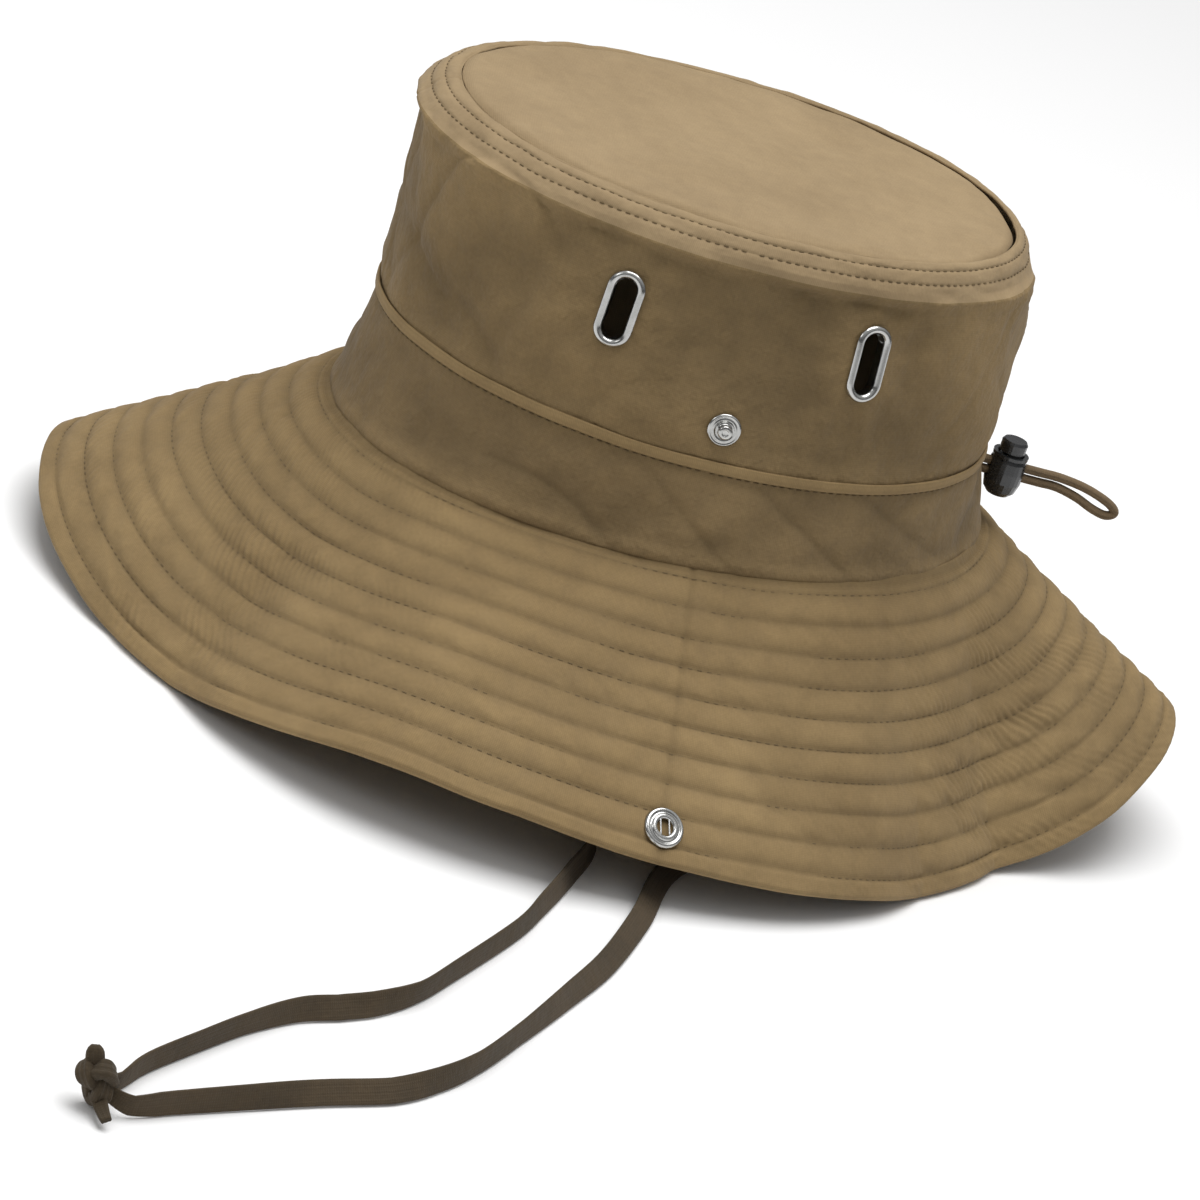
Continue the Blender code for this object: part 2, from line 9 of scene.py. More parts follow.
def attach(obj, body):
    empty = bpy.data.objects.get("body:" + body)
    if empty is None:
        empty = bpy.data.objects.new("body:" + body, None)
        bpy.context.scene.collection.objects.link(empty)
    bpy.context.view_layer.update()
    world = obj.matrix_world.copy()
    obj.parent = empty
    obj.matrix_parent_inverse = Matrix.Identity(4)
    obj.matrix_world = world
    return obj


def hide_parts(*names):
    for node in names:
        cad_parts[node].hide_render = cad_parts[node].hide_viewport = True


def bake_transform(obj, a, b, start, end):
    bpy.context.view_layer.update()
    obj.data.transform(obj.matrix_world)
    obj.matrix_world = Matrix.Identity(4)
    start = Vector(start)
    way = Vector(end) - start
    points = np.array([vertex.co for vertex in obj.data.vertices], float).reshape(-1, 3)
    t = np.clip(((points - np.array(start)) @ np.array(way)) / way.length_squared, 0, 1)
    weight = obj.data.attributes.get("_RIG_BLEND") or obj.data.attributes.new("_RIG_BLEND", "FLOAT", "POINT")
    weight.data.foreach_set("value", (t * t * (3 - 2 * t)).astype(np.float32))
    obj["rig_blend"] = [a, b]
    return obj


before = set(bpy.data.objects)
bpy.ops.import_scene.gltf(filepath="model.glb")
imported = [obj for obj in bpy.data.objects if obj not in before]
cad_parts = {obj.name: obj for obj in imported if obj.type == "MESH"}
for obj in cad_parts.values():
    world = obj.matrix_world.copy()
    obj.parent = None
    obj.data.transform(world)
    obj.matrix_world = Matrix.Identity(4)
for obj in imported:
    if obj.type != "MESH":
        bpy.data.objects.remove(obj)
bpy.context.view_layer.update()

MM = 0.001

# ---- camera
AZIMUTH, ELEVATION, ROLL = 77.7, 22.05, 19.15  # degrees; the roll gives the picture's tilt
TARGET = Vector((-0.0112, -0.0029, 0.0222))
DISTANCE = 1.95
LENS = 191.3


def add_object(name, data):
    obj = bpy.data.objects.new(name, data)
    bpy.context.scene.collection.objects.link(obj)
    return obj


def make_camera():
    """Long lens at the photograph's viewing angle."""
    az, el = math.radians(AZIMUTH), math.radians(ELEVATION)
    back = Vector((math.sin(az) * math.cos(el), -math.cos(az) * math.cos(el), math.sin(el)))
    data = bpy.data.cameras.new("camera")
    data.lens = LENS
    data.sensor_width = 36.0
    data.clip_start = 0.05
    data.clip_end = 20.0
    cam = add_object("camera", data)
    cam.location = TARGET + back * DISTANCE
    cam.rotation_mode = "QUATERNION"
    roll = Quaternion((0, 0, 1), math.radians(ROLL))
    cam.rotation_quaternion = (-back).to_track_quat("-Z", "Y") @ roll
    bpy.context.scene.camera = cam


make_camera()

# ---- hat surfaces
# In mm about the crown centre, as in part.py; angles start at the wearer's left.
# Rings: half width, half length, centre's y, height, rise per mm of y.
BASE_RING = (83.5, 101.0, 0.0, 74.6, 0.067)  # where crown and brim meet
RIDGE_RING = (80.5, 94.5, -1.5, 107.4, 0.02)  # top of the band
FOLD_RING = (75.0, 95.0, -7.5, 162.5, 0.0)  # shoulder, where the side turns over
TIP_RING = (67.0, 86.0, -5.7, 176.0, 0.01)  # seam between shoulder and tip
ROUNDNESS = 2.06  # power of the shoulder's and the tip's ovals
WALL_BULGE = 1.2  # how far the side stands out between its rings
BRIM_WIDTH = 92.0
# degrees below level, every 15 degrees round the hat, starting at the wearer's right
BRIM_SLOPES = np.array((46.0, 46.0, 48.0, 54.0, 43.0, 35.0, 38.0, 45.0, 49.5, 42.0, 35.0, 36.0,
                        41.0, 46.0, 52.0, 60.5, 60.5, 42.0, 30.0, 43.0, 62.0, 57.0, 50.0, 47.0))
BRIM_THICK = 2.6
SIDE_SEAM = 2.0  # degrees from the wearer's left and right
SNAP_ALONG = 0.885  # share of the brim's width
STUD_Y, STUD_Z = -1.0, 119.6
SIDES = ((1, "left"), (-1, "right"))
VENTS = ((-40.0, 144.5), (35.0, 147.0))  # y and height of the front and the back vent


def spline(a, b, c, d, t):
    """Smooth curve from b to c, for t from 0 to 1, between points a and d."""
    return b + 0.5 * t * (c - a + t * (2 * a - 5 * b + 4 * c - d + t * (3 * (b - c) + d - a)))


def oval(ring, angle, power=2.0):
    """Points of a ring; a power above 2 makes it a little squarer."""
    half_x, half_y, centre_y, height, rise = ring
    c, s = np.cos(angle), np.sin(angle)
    x = np.sign(c) * np.abs(c) ** (2.0 / power) * half_x
    y = np.sign(s) * np.abs(s) ** (2.0 / power) * half_y
    return np.stack([x, y + centre_y, height + rise * y], -1)


def brim_slope(angle):
    """Slope of the brim in radians; its edge never goes below the table."""
    count = len(BRIM_SLOPES)
    place = (np.degrees(angle) + 180.0) / 360.0 * count
    i = np.floor(place).astype(int)
    t = place - i
    value = spline(*(BRIM_SLOPES[(i + k) % count] for k in (-1, 0, 1, 2)), t)
    return np.minimum(np.radians(value), np.arcsin(oval(BASE_RING, angle)[..., 2] / BRIM_WIDTH))


def outward(angle):
    """Level direction square to the base ring."""
    x, y = np.cos(angle) / BASE_RING[0], np.sin(angle) / BASE_RING[1]
    size = np.hypot(x, y)
    return np.stack([x / size, y / size, np.zeros_like(x)], -1)


def brim_lower(angle, along):
    """Lower surface of the brim; along goes from 0 at the crown to 1 at the edge."""
    angle, along = np.broadcast_arrays(np.asarray(angle, float), np.asarray(along, float))
    slope = brim_slope(angle)[..., None]
    reach = (BRIM_WIDTH * along)[..., None]
    point = oval(BASE_RING, angle) + outward(angle) * np.cos(slope) * reach
    point[..., 2] -= (np.sin(slope) * reach)[..., 0]
    return point


def clamp(value):
    return np.clip(value, 0.0, 1.0)


def unit(v):
    return v / np.maximum(np.linalg.norm(v, axis=-1, keepdims=True), 1e-9)


def brim_normal(angle, along):
    e = 0.02
    side = brim_lower(angle + e, along) - brim_lower(angle - e, along)
    out = brim_lower(angle, along + e) - brim_lower(angle, along - e)
    return unit(np.cross(out, side))


def wall(angle, up):
    """Outer surface of the crown; up is 0 at the base, 1 at the ridge, 2 at the fold, 3 inside."""
    angle, up = np.broadcast_arrays(np.asarray(angle, float), np.asarray(up, float))
    u = up[..., None]
    base, ridge = oval(BASE_RING, angle), oval(RIDGE_RING, angle)
    fold, tip = oval(FOLD_RING, angle, ROUNDNESS), oval(TIP_RING, angle, ROUNDNESS)
    low = base + (ridge - base) * u
    t = clamp(u - 1.0)
    bulge = (ridge - (0.0, RIDGE_RING[2], 0.0)) * (1.0, 1.0, 0.0)
    middle = ridge + (fold - ridge) * t + unit(bulge) * WALL_BULGE * np.sin(np.pi * t)
    turn = np.clip(u - 2.0, 0.0, 1.2) * np.pi / 2
    inward, rise = 1.0 - np.cos(turn), np.sin(turn)
    top = np.concatenate([fold[..., :2] + (tip[..., :2] - fold[..., :2]) * inward,
                          fold[..., 2:] + (tip[..., 2:] - fold[..., 2:]) * rise], -1)
    return np.where(u <= 1.0, low, np.where(u <= 2.0, middle, top))


def wall_normal(angle, up):
    e = 4e-3
    up = np.clip(up, e, 2.97)
    side = wall(angle + e, up) - wall(angle - e, up)
    rise = wall(angle, up + e) - wall(angle, up - e)
    return unit(np.cross(side, rise))


def hat_shift():
    """Brings the middle of the brim's box to the origin, as part.py does."""
    a = np.radians(np.arange(1440) / 4.0)
    edge = brim_lower(a, 1.0)
    both = np.concatenate([edge, edge + brim_normal(a, 1.0) * BRIM_THICK])
    middle = (both.max(0) + both.min(0)) / 2
    return np.array((-middle[0], -middle[1], 0.0))


SHIFT = hat_shift()


def put(points):
    """Crown-centred millimetres to the shared frame in metres."""
    return (np.asarray(points, float) + SHIFT) * MM


# ---- smooth seeded noise
CELLS = 64


def noise(x, y, seed, period=CELLS):
    """Values from -1 to 1 at the corners of unit cells, blended smoothly between them."""
    table = np.random.RandomState(seed).rand(CELLS, CELLS) * 2.0 - 1.0
    i, j = np.floor(x).astype(int), np.floor(y).astype(int)
    fx, fy = x - i, y - j
    fx, fy = fx ** 3 * (fx * (fx * 6 - 15) + 10), fy ** 3 * (fy * (fy * 6 - 15) + 10)
    i, n = i % period % CELLS, (i + 1) % period % CELLS
    a, b = table[i, j % CELLS], table[n, j % CELLS]
    c, d = table[i, (j + 1) % CELLS], table[n, (j + 1) % CELLS]
    return (a * (1 - fx) + b * fx) * (1 - fy) + (c * (1 - fx) + d * fx) * fy


def around(angle, v, count, seed, shear=0.0, rows=1.0):
    """Noise that closes round the hat: count cells in the turn, rows cells per unit of v."""
    return noise(angle / (2 * np.pi) * count + shear * v, v * rows, seed, count)


def waves(angle, v, *layers):
    """Sum of noise layers round the hat, each (height, count, seed, shear, rows)."""
    return sum(height * around(angle, v, *layer) for height, *layer in layers)


def bump_at(angle, centre, width):
    """Smooth hill of the given width, in degrees, about an angle round the hat."""
    gap = (np.degrees(angle) - centre + 180.0) % 360.0 - 180.0
    return np.exp(-(gap / width) ** 2)


def hills(angle, *places):
    """Sum of hills, each (height, centre, width)."""
    return sum(height * bump_at(angle, centre, width) for height, centre, width in places)


def turn_gap(angle, other):
    """Angle from other, from -pi to pi."""
    return (angle - other + np.pi) % (2 * np.pi) - np.pi


# ---- mesh helpers
def new_object(name, verts, faces, mat, uvs=None):
    """Smooth-shaded mesh object; uvs has one pair in metres for each vertex."""
    mesh = bpy.data.meshes.new(name)
    mesh.from_pydata([tuple(v) for v in verts], [], faces)
    mesh.materials.append(mat)
    if uvs is not None:
        layer = mesh.uv_layers.new(name="cloth")
        index = np.zeros(len(mesh.loops), dtype=np.int32)
        mesh.loops.foreach_get("vertex_index", index)
        layer.data.foreach_set("uv", np.asarray(uvs, dtype=np.float32)[index].ravel())
    mesh.shade_smooth()
    mesh.update()
    return add_object(name, mesh)


def closed_sheet(name, top, bottom, mat, uv, loop=False, skip=None, relief=None):
    """Closed thick sheet from two (nu, nv, 3) grids.

    loop joins its ends, skip marks quads left out as a hole, and relief (-1.7 in hollows to 1 on
    crests) is kept as painted shade in the hollows and painted light on the crests.
    """
    nu, nv = top.shape[:2]
    size = nu * nv
    verts = put(np.concatenate([top.reshape(-1, 3), bottom.reshape(-1, 3)]))
    uvs = np.concatenate([uv.reshape(-1, 2), uv.reshape(-1, 2)])
    ni = nu if loop else nu - 1
    i, j = np.meshgrid(np.arange(ni), np.arange(nv - 1), indexing="ij")
    a, b = i * nv + j, ((i + 1) % nu) * nv + j
    keep = np.ones(a.shape, bool) if skip is None else ~skip
    quads = np.stack([a, b, b + 1, a + 1], -1)[keep]
    under = np.stack([a, a + 1, b + 1, b], -1)[keep] + size
    faces = quads.tolist() + under.tolist()
    steps = [(i * nv, (i + 1) % nu * nv) for i in range(ni)]
    faces += [(p, size + p, size + q, q) for p, q in steps]
    faces += [(p, q, size + q, size + p) for p, q in ((p + nv - 1, q + nv - 1) for p, q in steps)]
    if not loop:
        faces += [(p, p + 1, size + p + 1, size + p) for p in range(nv - 1)]
        faces += [(p, size + p, size + p + 1, p + 1) for p in range(size - nv, size - 1)]
    if skip is not None:
        gone = set(zip(*(places.tolist() for places in np.nonzero(skip))))
        for i, j in gone:
            p, q = i * nv + j, ((i + 1) % nu) * nv + j
            for beside, (u, v) in (((i - 1, j), (p, p + 1)), ((i + 1, j), (q + 1, q)),
                                   ((i, j - 1), (q, p)), ((i, j + 1), (p + 1, q + 1))):
                if beside not in gone:
                    faces.append((u, v, size + v, size + u))
    obj = new_object(name, verts, faces, mat, uvs)
    if relief is not None:
        # relief stored for painted shade and painted light in the cloth's colour
        wear_and_painted_relief_shade = np.clip(relief, -1.7, 1.0).ravel()
        layer = obj.data.attributes.new("relief", "FLOAT", "POINT")
        layer.data.foreach_set("value", np.concatenate([wear_and_painted_relief_shade, wear_and_painted_relief_shade]).astype(np.float32))
    return obj


def tube_faces(rings, sides, closed):
    """Quads between rings of points; a closed tube's last ring joins its first."""
    faces = []
    for i in range(rings if closed else rings - 1):
        p, q = i * sides, (i + 1) % rings * sides
        faces += [(p + j, p + (j + 1) % sides, q + (j + 1) % sides, q + j) for j in range(sides)]
    return faces


TURNED_STEPS, BEND_STEPS = 64, 20


def axes_for(axis):
    """Right, up and out for a small part whose axis points out."""
    axis = np.asarray(axis, float) / np.linalg.norm(axis)
    hint = np.array((0.0, 0.0, 1.0)) if abs(axis[2]) < 0.95 else np.array((0.0, 1.0, 0.0))
    up = hint - axis * hint.dot(axis)
    up /= np.linalg.norm(up)
    return np.cross(up, axis), up, axis


def rounded(profile, passes=2):
    """Corner-cutting of an open profile, to soften its edges."""
    points = np.asarray(profile, float)
    for _ in range(passes):
        cut = [points[0]]
        for a, b in zip(points[:-1], points[1:]):
            cut += [a * 0.8 + b * 0.2, a * 0.2 + b * 0.8]
        cut.append(points[-1])
        points = np.array(cut)
    return points


def lathe(name, profile, centre, axis, closed=False, passes=2):
    """Turned metal; an open profile starts and ends on the axis, a closed one rings round it."""
    right, up, out = axes_for(axis)
    profile = rounded(profile + [profile[0]] if closed else profile, passes)
    if closed:
        profile = profile[:-1]
    a = np.arange(TURNED_STEPS) * 2 * np.pi / TURNED_STEPS
    ring = right[None] * np.cos(a)[:, None] + up[None] * np.sin(a)[:, None]
    verts = np.concatenate([centre + ring * r + out * h for r, h in profile])
    obj = new_object(name, put(verts), tube_faces(len(profile), TURNED_STEPS, closed), NICKEL)
    tidy_mesh(obj)
    return obj


def tidy_mesh(obj, merge=True):
    """Joins points that coincide, drops empty faces and turns faces outward."""
    bm = bmesh.new()
    bm.from_mesh(obj.data)
    if merge:
        bmesh.ops.remove_doubles(bm, verts=bm.verts, dist=1e-7)
        bmesh.ops.dissolve_degenerate(bm, edges=bm.edges, dist=1e-8)
    bmesh.ops.recalc_face_normals(bm, faces=bm.faces)
    bm.to_mesh(obj.data)
    bm.free()


def oblong(name, profile, centre, axis, straight, passes=2):
    """Closed metal profile swept round an oblong; its first values are distances outward."""
    right, up, out = axes_for(axis)
    profile = rounded(profile + [profile[0]], passes)[:-1]
    spine = []
    for half, side in enumerate((1, -1)):
        for k in range(BEND_STEPS + 1):
            a = np.pi * half + np.pi * k / BEND_STEPS
            spine.append((up * (straight * side), right * np.cos(a) + up * np.sin(a)))
        for k in range(1, 8):
            spine.append((up * straight * (side * (1 - k / 4.0)), right * -side))
    verts = [centre + middle + ray * offset + out * height
             for middle, ray in spine for offset, height in profile]
    faces = [(a, d, c, b) for a, b, c, d in tube_faces(len(spine), len(profile), True)]
    obj = new_object(name, put(verts), faces, NICKEL)
    tidy_mesh(obj)
    return obj


def gaps(points):
    return np.linalg.norm(np.diff(points, axis=0), axis=1)


def distances(points):
    """Distance of each point from the first, along the line."""
    return np.concatenate([[0.0], np.cumsum(gaps(points))])


def smooth_path(points, steps):
    """Smooth curve through all the points, with steps places from each to the next."""
    points = np.asarray(points, float)
    last = len(points) - 1
    path = []
    for i in range(last):
        four = (points[max(i - 1, 0)], points[i], points[i + 1], points[min(i + 2, last)])
        path += [spline(*four, k / steps) for k in range(steps)]
    path.append(points[-1])
    return np.array(path)


def stitches(name, lines, normals, pitch=2.7, length=1.9, radius=0.22):
    """Separate thread stitches along lines of close points; their ends dip into the cloth."""
    first_gap = 0.4
    stations = ((0.0, -0.25, 0.55), (0.22, 0.16, 1.0), (0.78, 0.16, 1.0), (1.0, -0.25, 0.55))
    ring = [(math.cos(a), math.sin(a)) for a in ((0.25 + 0.5 * k) * math.pi for k in range(4))]
    verts, faces = [], []
    for line, ups in zip(lines, normals):
        run = distances(line)
        for k in range(int(run[-1] / pitch)):
            spots = k * pitch + first_gap + length * np.array([share for share, _, _ in stations])
            if spots[-1] > run[-1]:
                continue
            at, up = (np.stack([np.interp(spots, run, grid[:, c]) for c in range(3)], -1)
                      for grid in (line, ups))
            up = unit(up)
            side = unit(np.cross(unit(at[-1] - at[0]), up))
            base = len(verts)
            for m, (_, high, wide) in enumerate(stations):
                middle = at[m] + up[m] * high
                verts += [middle + (side[m] * c + up[m] * s) * radius * wide for c, s in ring]
            faces += [tuple(base + v for v in face) for face in tube_faces(4, 4, False)]
            faces += [(base, base + 3, base + 2, base + 1), tuple(range(base + 12, base + 16))]
    return new_object(name, put(verts), faces, THREAD)


# ---- materials
def node_material(name, rough=0.8, metal=0.0):
    mat = bpy.data.materials.new(name)
    mat.use_nodes = True
    tree = mat.node_tree
    shader = tree.nodes["Principled BSDF"]
    shader.inputs["Roughness"].default_value = rough
    shader.inputs["Metallic"].default_value = metal
    return mat, tree, shader


def link(tree, a, b):
    tree.links.new(a, b)


def set_inputs(node, **values):
    """Sets a node's sockets; an underscore in a name stands for a space."""
    for name, value in values.items():
        node.inputs[name.replace("_", " ")].default_value = value


def new_node(tree, kind, **values):
    node = tree.nodes.new(f"ShaderNode{kind}")
    set_inputs(node, **values)
    return node


def mix_colours(tree, factor, one, two):
    mix = new_node(tree, "Mix")
    mix.data_type = "RGBA"
    link(tree, factor, mix.inputs["Factor"])
    set_inputs(mix, A=(*one, 1.0), B=(*two, 1.0))
    return mix.outputs["Result"]


def noise_node(tree, vector, scale, detail=4.0, rough=0.55):
    node = new_node(tree, "TexNoise", Scale=scale, Detail=detail, Roughness=rough)
    link(tree, vector, node.inputs["Vector"])
    return node.outputs["Fac"]


def ramp(tree, value, low, high, bottom=0.0, top=1.0):
    """Maps low..high to bottom..top."""
    node = new_node(tree, "MapRange", From_Min=low, From_Max=high, To_Min=bottom, To_Max=top)
    link(tree, value, node.inputs["Value"])
    return node.outputs["Result"]


def math_node(tree, op, a, b):
    node = new_node(tree, "Math")
    node.operation = op
    for socket, value in zip(node.inputs, (a, b)):
        if isinstance(value, (int, float)):
            socket.default_value = value
        else:
            link(tree, value, socket)
    return node.outputs[0]


def weighted(tree, *terms):
    """Sum of (factor, number) terms."""
    parts = [math_node(tree, "MULTIPLY", factor, number) for factor, number in terms]
    total = parts[0]
    for part in parts[1:]:
        total = math_node(tree, "ADD", total, part)
    return total


def thread_node(tree, vector, scale, axis):
    """Bands of threads along one axis of the weave."""
    node = new_node(tree, "TexWave", Scale=scale, Distortion=0.6, Detail=1.0)
    node.wave_type = "BANDS"
    node.bands_direction = axis
    link(tree, vector, node.inputs["Vector"])
    return node.outputs["Fac"]


def bump_node(tree, height, strength, distance, normal=None):
    node = new_node(tree, "Bump", Strength=strength, Distance=distance)
    link(tree, height, node.inputs["Height"])
    if normal is not None:
        link(tree, normal, node.inputs["Normal"])
    return node.outputs["Normal"]


def cloth_material(name, light, dark, weave=620.0, bump=0.25, rough=0.82, sheen=0.03,
                   crumple=0.0014):
    """Woven cloth: fine weave, soft mottling, small crumples; "relief" paints shade in hollows, light on
    crests.
    """
    mat, tree, shader = node_material(name, rough)
    set_inputs(shader, Sheen_Weight=sheen, Sheen_Roughness=0.6, Specular_IOR_Level=0.25)
    uv = new_node(tree, "UVMap")
    uv.uv_map = "cloth"
    place = new_node(tree, "TexCoord").outputs["Object"]
    threads = math_node(tree, "MULTIPLY", thread_node(tree, uv.outputs["UV"], weave, "X"),
                        thread_node(tree, uv.outputs["UV"], weave, "Y"))
    broad = noise_node(tree, place, 26.0, 3.0)
    fine = noise_node(tree, place, 900.0, 2.0)
    slub = noise_node(tree, place, 170.0, 3.0)
    rumple = noise_node(tree, place, 75.0, 4.0, 0.6)
    tone = ramp(tree, weighted(tree, (broad, 0.55), (slub, 0.25), (fine, 0.2)), 0.36, 0.64)
    relief = new_node(tree, "Attribute")
    relief.attribute_name = "relief"
    # painted shade in the hollows and painted light on the crests: the colour is scaled by the relief
    # attribute
    wear_and_painted_relief_shade = math_node(tree, "ADD", math_node(tree, "MULTIPLY", relief.outputs["Fac"], 0.13), 1.04)
    shade = math_node(tree, "MULTIPLY", ramp(tree, threads, 0.0, 0.6, 0.9, 1.04), wear_and_painted_relief_shade)
    colour = new_node(tree, "VectorMath")
    colour.operation = "SCALE"
    link(tree, mix_colours(tree, tone, dark, light), colour.inputs[0])
    link(tree, shade, colour.inputs["Scale"])
    link(tree, colour.outputs["Vector"], shader.inputs["Base Color"])
    link(tree, ramp(tree, slub, 0.3, 0.7, rough - 0.06, rough + 0.08), shader.inputs["Roughness"])
    weave_normal = bump_node(tree, weighted(tree, (threads, 0.7), (fine, 0.5)), bump, 0.00012)
    crumples = math_node(tree, "ADD", rumple, math_node(tree, "MULTIPLY", slub, 0.3))
    link(tree, bump_node(tree, crumples, 0.5, crumple, weave_normal), shader.inputs["Normal"])
    return mat


def metal_material(name, colour, rough):
    """Plated metal with fine handling marks."""
    mat, tree, shader = node_material(name, rough, 1.0)
    place = new_node(tree, "TexCoord").outputs["Object"]
    marks = noise_node(tree, place, 1600.0, 4.0, 0.7)
    tint = ramp(tree, noise_node(tree, place, 260.0, 2.0), 0.35, 0.65)
    dull = tuple(c * 0.84 for c in colour)
    link(tree, mix_colours(tree, tint, dull, colour), shader.inputs["Base Color"])
    link(tree, ramp(tree, marks, 0.3, 0.7, rough * 0.7, rough * 1.5), shader.inputs["Roughness"])
    link(tree, bump_node(tree, marks, 0.06, 0.0001), shader.inputs["Normal"])
    return mat


def plastic_material(name, colour, rough):
    """Moulded plastic with a fine grain and a thin gloss."""
    mat, tree, shader = node_material(name, rough)
    set_inputs(shader, Coat_Weight=0.35, Coat_Roughness=0.12)
    grain = noise_node(tree, new_node(tree, "TexCoord").outputs["Object"], 1100.0, 3.0)
    light = tuple(min(1.0, c * 1.7 + 0.004) for c in colour)
    link(tree, mix_colours(tree, grain, colour, light), shader.inputs["Base Color"])
    link(tree, ramp(tree, grain, 0.3, 0.7, rough * 0.75, rough * 1.3), shader.inputs["Roughness"])
    link(tree, bump_node(tree, grain, 0.12, 0.0001), shader.inputs["Normal"])
    return mat


# One khaki cloth throughout. The brim, side and band copies are the base cloth darkened as painted shade,
# and a little yellower.
CLOTH = cloth_material("khaki_cloth_base", (0.340, 0.247, 0.137), (0.268, 0.191, 0.103))
BRIM_CLOTH_PAINTED_SHADE = cloth_material("khaki_cloth_brim_painted_shade", (0.288, 0.199, 0.092), (0.212, 0.143, 0.064))
SIDE_CLOTH_PAINTED_SHADE = cloth_material("khaki_cloth_side_painted_shade", (0.252, 0.173, 0.080), (0.168, 0.114, 0.051),
                            crumple=0.0055)
BAND_CLOTH_PAINTED_SHADE = cloth_material("khaki_cloth_band_painted_shade", (0.228, 0.157, 0.074), (0.150, 0.102, 0.047),
                            crumple=0.0045)
# thread in its own tone, darkened further as painted shade for the grooves between stitches
THREAD = cloth_material("khaki_thread", (0.17, 0.118, 0.058), (0.12, 0.083, 0.040), 900.0, 0.5)
LINING = cloth_material("sweatband_twill", (0.20, 0.15, 0.086), (0.16, 0.118, 0.066), 480.0, 0.5)
STRAP = cloth_material("strap_webbing", (0.082, 0.057, 0.031), (0.048, 0.034, 0.018),
                       420.0, 0.7, 0.8, 0.05)
ELASTIC = cloth_material("cord_braid", (0.21, 0.145, 0.080), (0.13, 0.09, 0.05), 520.0, 0.9, 0.8)
NICKEL = metal_material("nickel_plate", (0.52, 0.52, 0.505), 0.17)
STEEL = metal_material("spring_wire", (0.62, 0.62, 0.62), 0.25)
BLACK = plastic_material("black_lock_plastic", (0.010, 0.011, 0.012), 0.24)


# ---- cords first: strap tapes, knot, pull loop
def sweep(name, path, sides, section, mat, scale=None):
    """Solid along a path: sides are the section's first axis, section is (a, b) pairs in mm."""
    path, sides = np.asarray(path, float), unit(np.asarray(sides, float))
    ahead = unit(np.gradient(path, axis=0))
    sides = unit(sides - ahead * (sides * ahead).sum(-1, keepdims=True))
    other = np.cross(ahead, sides)
    section = np.asarray(section, float)
    scale = np.ones(len(path)) if scale is None else scale
    spread = sides[:, None] * section[None, :, :1] + other[:, None] * section[None, :, 1:]
    verts = path[:, None] + spread * scale[:, None, None]
    girth = np.cumsum(gaps(np.concatenate([section[-1:], section])))
    uv = np.stack(np.broadcast_arrays(distances(path)[:, None] * MM, girth[None] * MM), -1)
    n, m = len(path), len(section)
    faces = tube_faces(n, m, False)
    faces += [tuple(range(m - 1, -1, -1)), tuple(range((n - 1) * m, n * m))]
    obj = new_object(name, put(verts.reshape(-1, 3)), faces, mat, uv.reshape(-1, 2))
    tidy_mesh(obj, merge=False)
    return obj


def round_section(radius, count):
    turns = [2 * math.pi * k / count for k in range(count)]
    return [(radius * math.cos(a), radius * math.sin(a)) for a in turns]


def tape_section(width, thick, ribs=6):
    """Flat woven tape with thick selvedges and shallow ribs along it."""
    half, points = width / 2, []
    for side in (1, -1):
        for k in range(ribs * 4 + 1):
            t = 1 - 2 * k / (ribs * 4)
            rise = thick / 2 * (0.86 + 0.07 * math.cos(t * ribs * math.pi) + 0.12 * abs(t) ** 6)
            edge = (1 - abs(t) ** 9) ** 0.5 if abs(t) < 1 else 0.0
            points.append((side * t * half, side * rise * (0.35 + 0.65 * edge)))
    return points


TAPE_WIDTH, TAPE_THICK = 7.0, 1.2
HUNG = 3  # the first points of each tape that hang down inside the hat
LYING = 4.2  # height of the middle of a tape that stands on edge on the table
KNOT_CENTRE = (345.5, -158.5, 8.1)


def tape_route(hanging, on_table, at_knot):
    return [*hanging, *((x, y, LYING) for x, y in on_table), *at_knot]


# Routes as part.py's, but for their last points, and the twist at each point in degrees.
TAPES = {
    "left": (tape_route(
        ((74.5, 2.0, 68.0), (74.3, 3.0, 55.0), (70.0, 6.0, 38.0), (58.0, 14.0, 20.0),
         (50.0, 30.0, 8.0)),
        ((60.0, 46.0), (80.0, 47.0), (103.0, 34.0), (130.0, 15.0), (164.0, 4.0), (198.0, -9.0),
         (226.0, -23.0), (254.0, -38.0), (278.0, -52.0), (293.0, -64.0), (304.0, -77.0),
         (315.0, -97.0), (328.0, -118.0), (339.0, -136.0)),
        ((346.5, -148.5, 4.4), (346.0, -156.8, 6.0))),
        [0] * 7 + [30, 62, 66, 52, 30, 12, 8, 20, 44, 34, 14, 4, 0, 0]),
    "right": (tape_route(
        ((-74.5, 2.0, 68.0), (-74.0, 1.0, 52.0), (-68.0, 0.0, 30.0), (-50.0, -2.0, 12.0),
         (-28.0, -4.0, 4.6)),
        ((10.0, -6.0), (50.0, -5.0), (90.0, -4.0), (124.0, -7.0), (149.0, -16.0), (173.0, -26.0),
         (193.0, -35.0), (227.0, -55.0), (246.0, -67.0), (258.0, -79.0), (265.0, -90.0),
         (273.0, -102.0), (287.0, -116.0), (304.0, -130.0), (322.0, -144.0)),
        ((335.5, -151.5, 4.4), (343.5, -157.5, 7.0))),
        [0] * 8 + [20, 26, 20, 10, 6, 2, 22, 40, 16, 2, 0, 0, 0, 0]),
}
# drawcord: height behind the hat, half the gap of its strands, level inside the band
CORD_LEVEL, CORD_GAP, CORD_UP = 100.5, 1.6, 0.69
LOOP_RUN = (92.9, 97, 103, 109, 115, 121)  # y of the two strands up to and past the lock
LOOP_END = ((0, 128.5, 101.2), (0, 134.5, 99.6), (0, 139.2, 97.6), (0, 141, 95.5),
            (0, 138.6, 94.1), (0, 134, 95), (0, 128, 97.3))


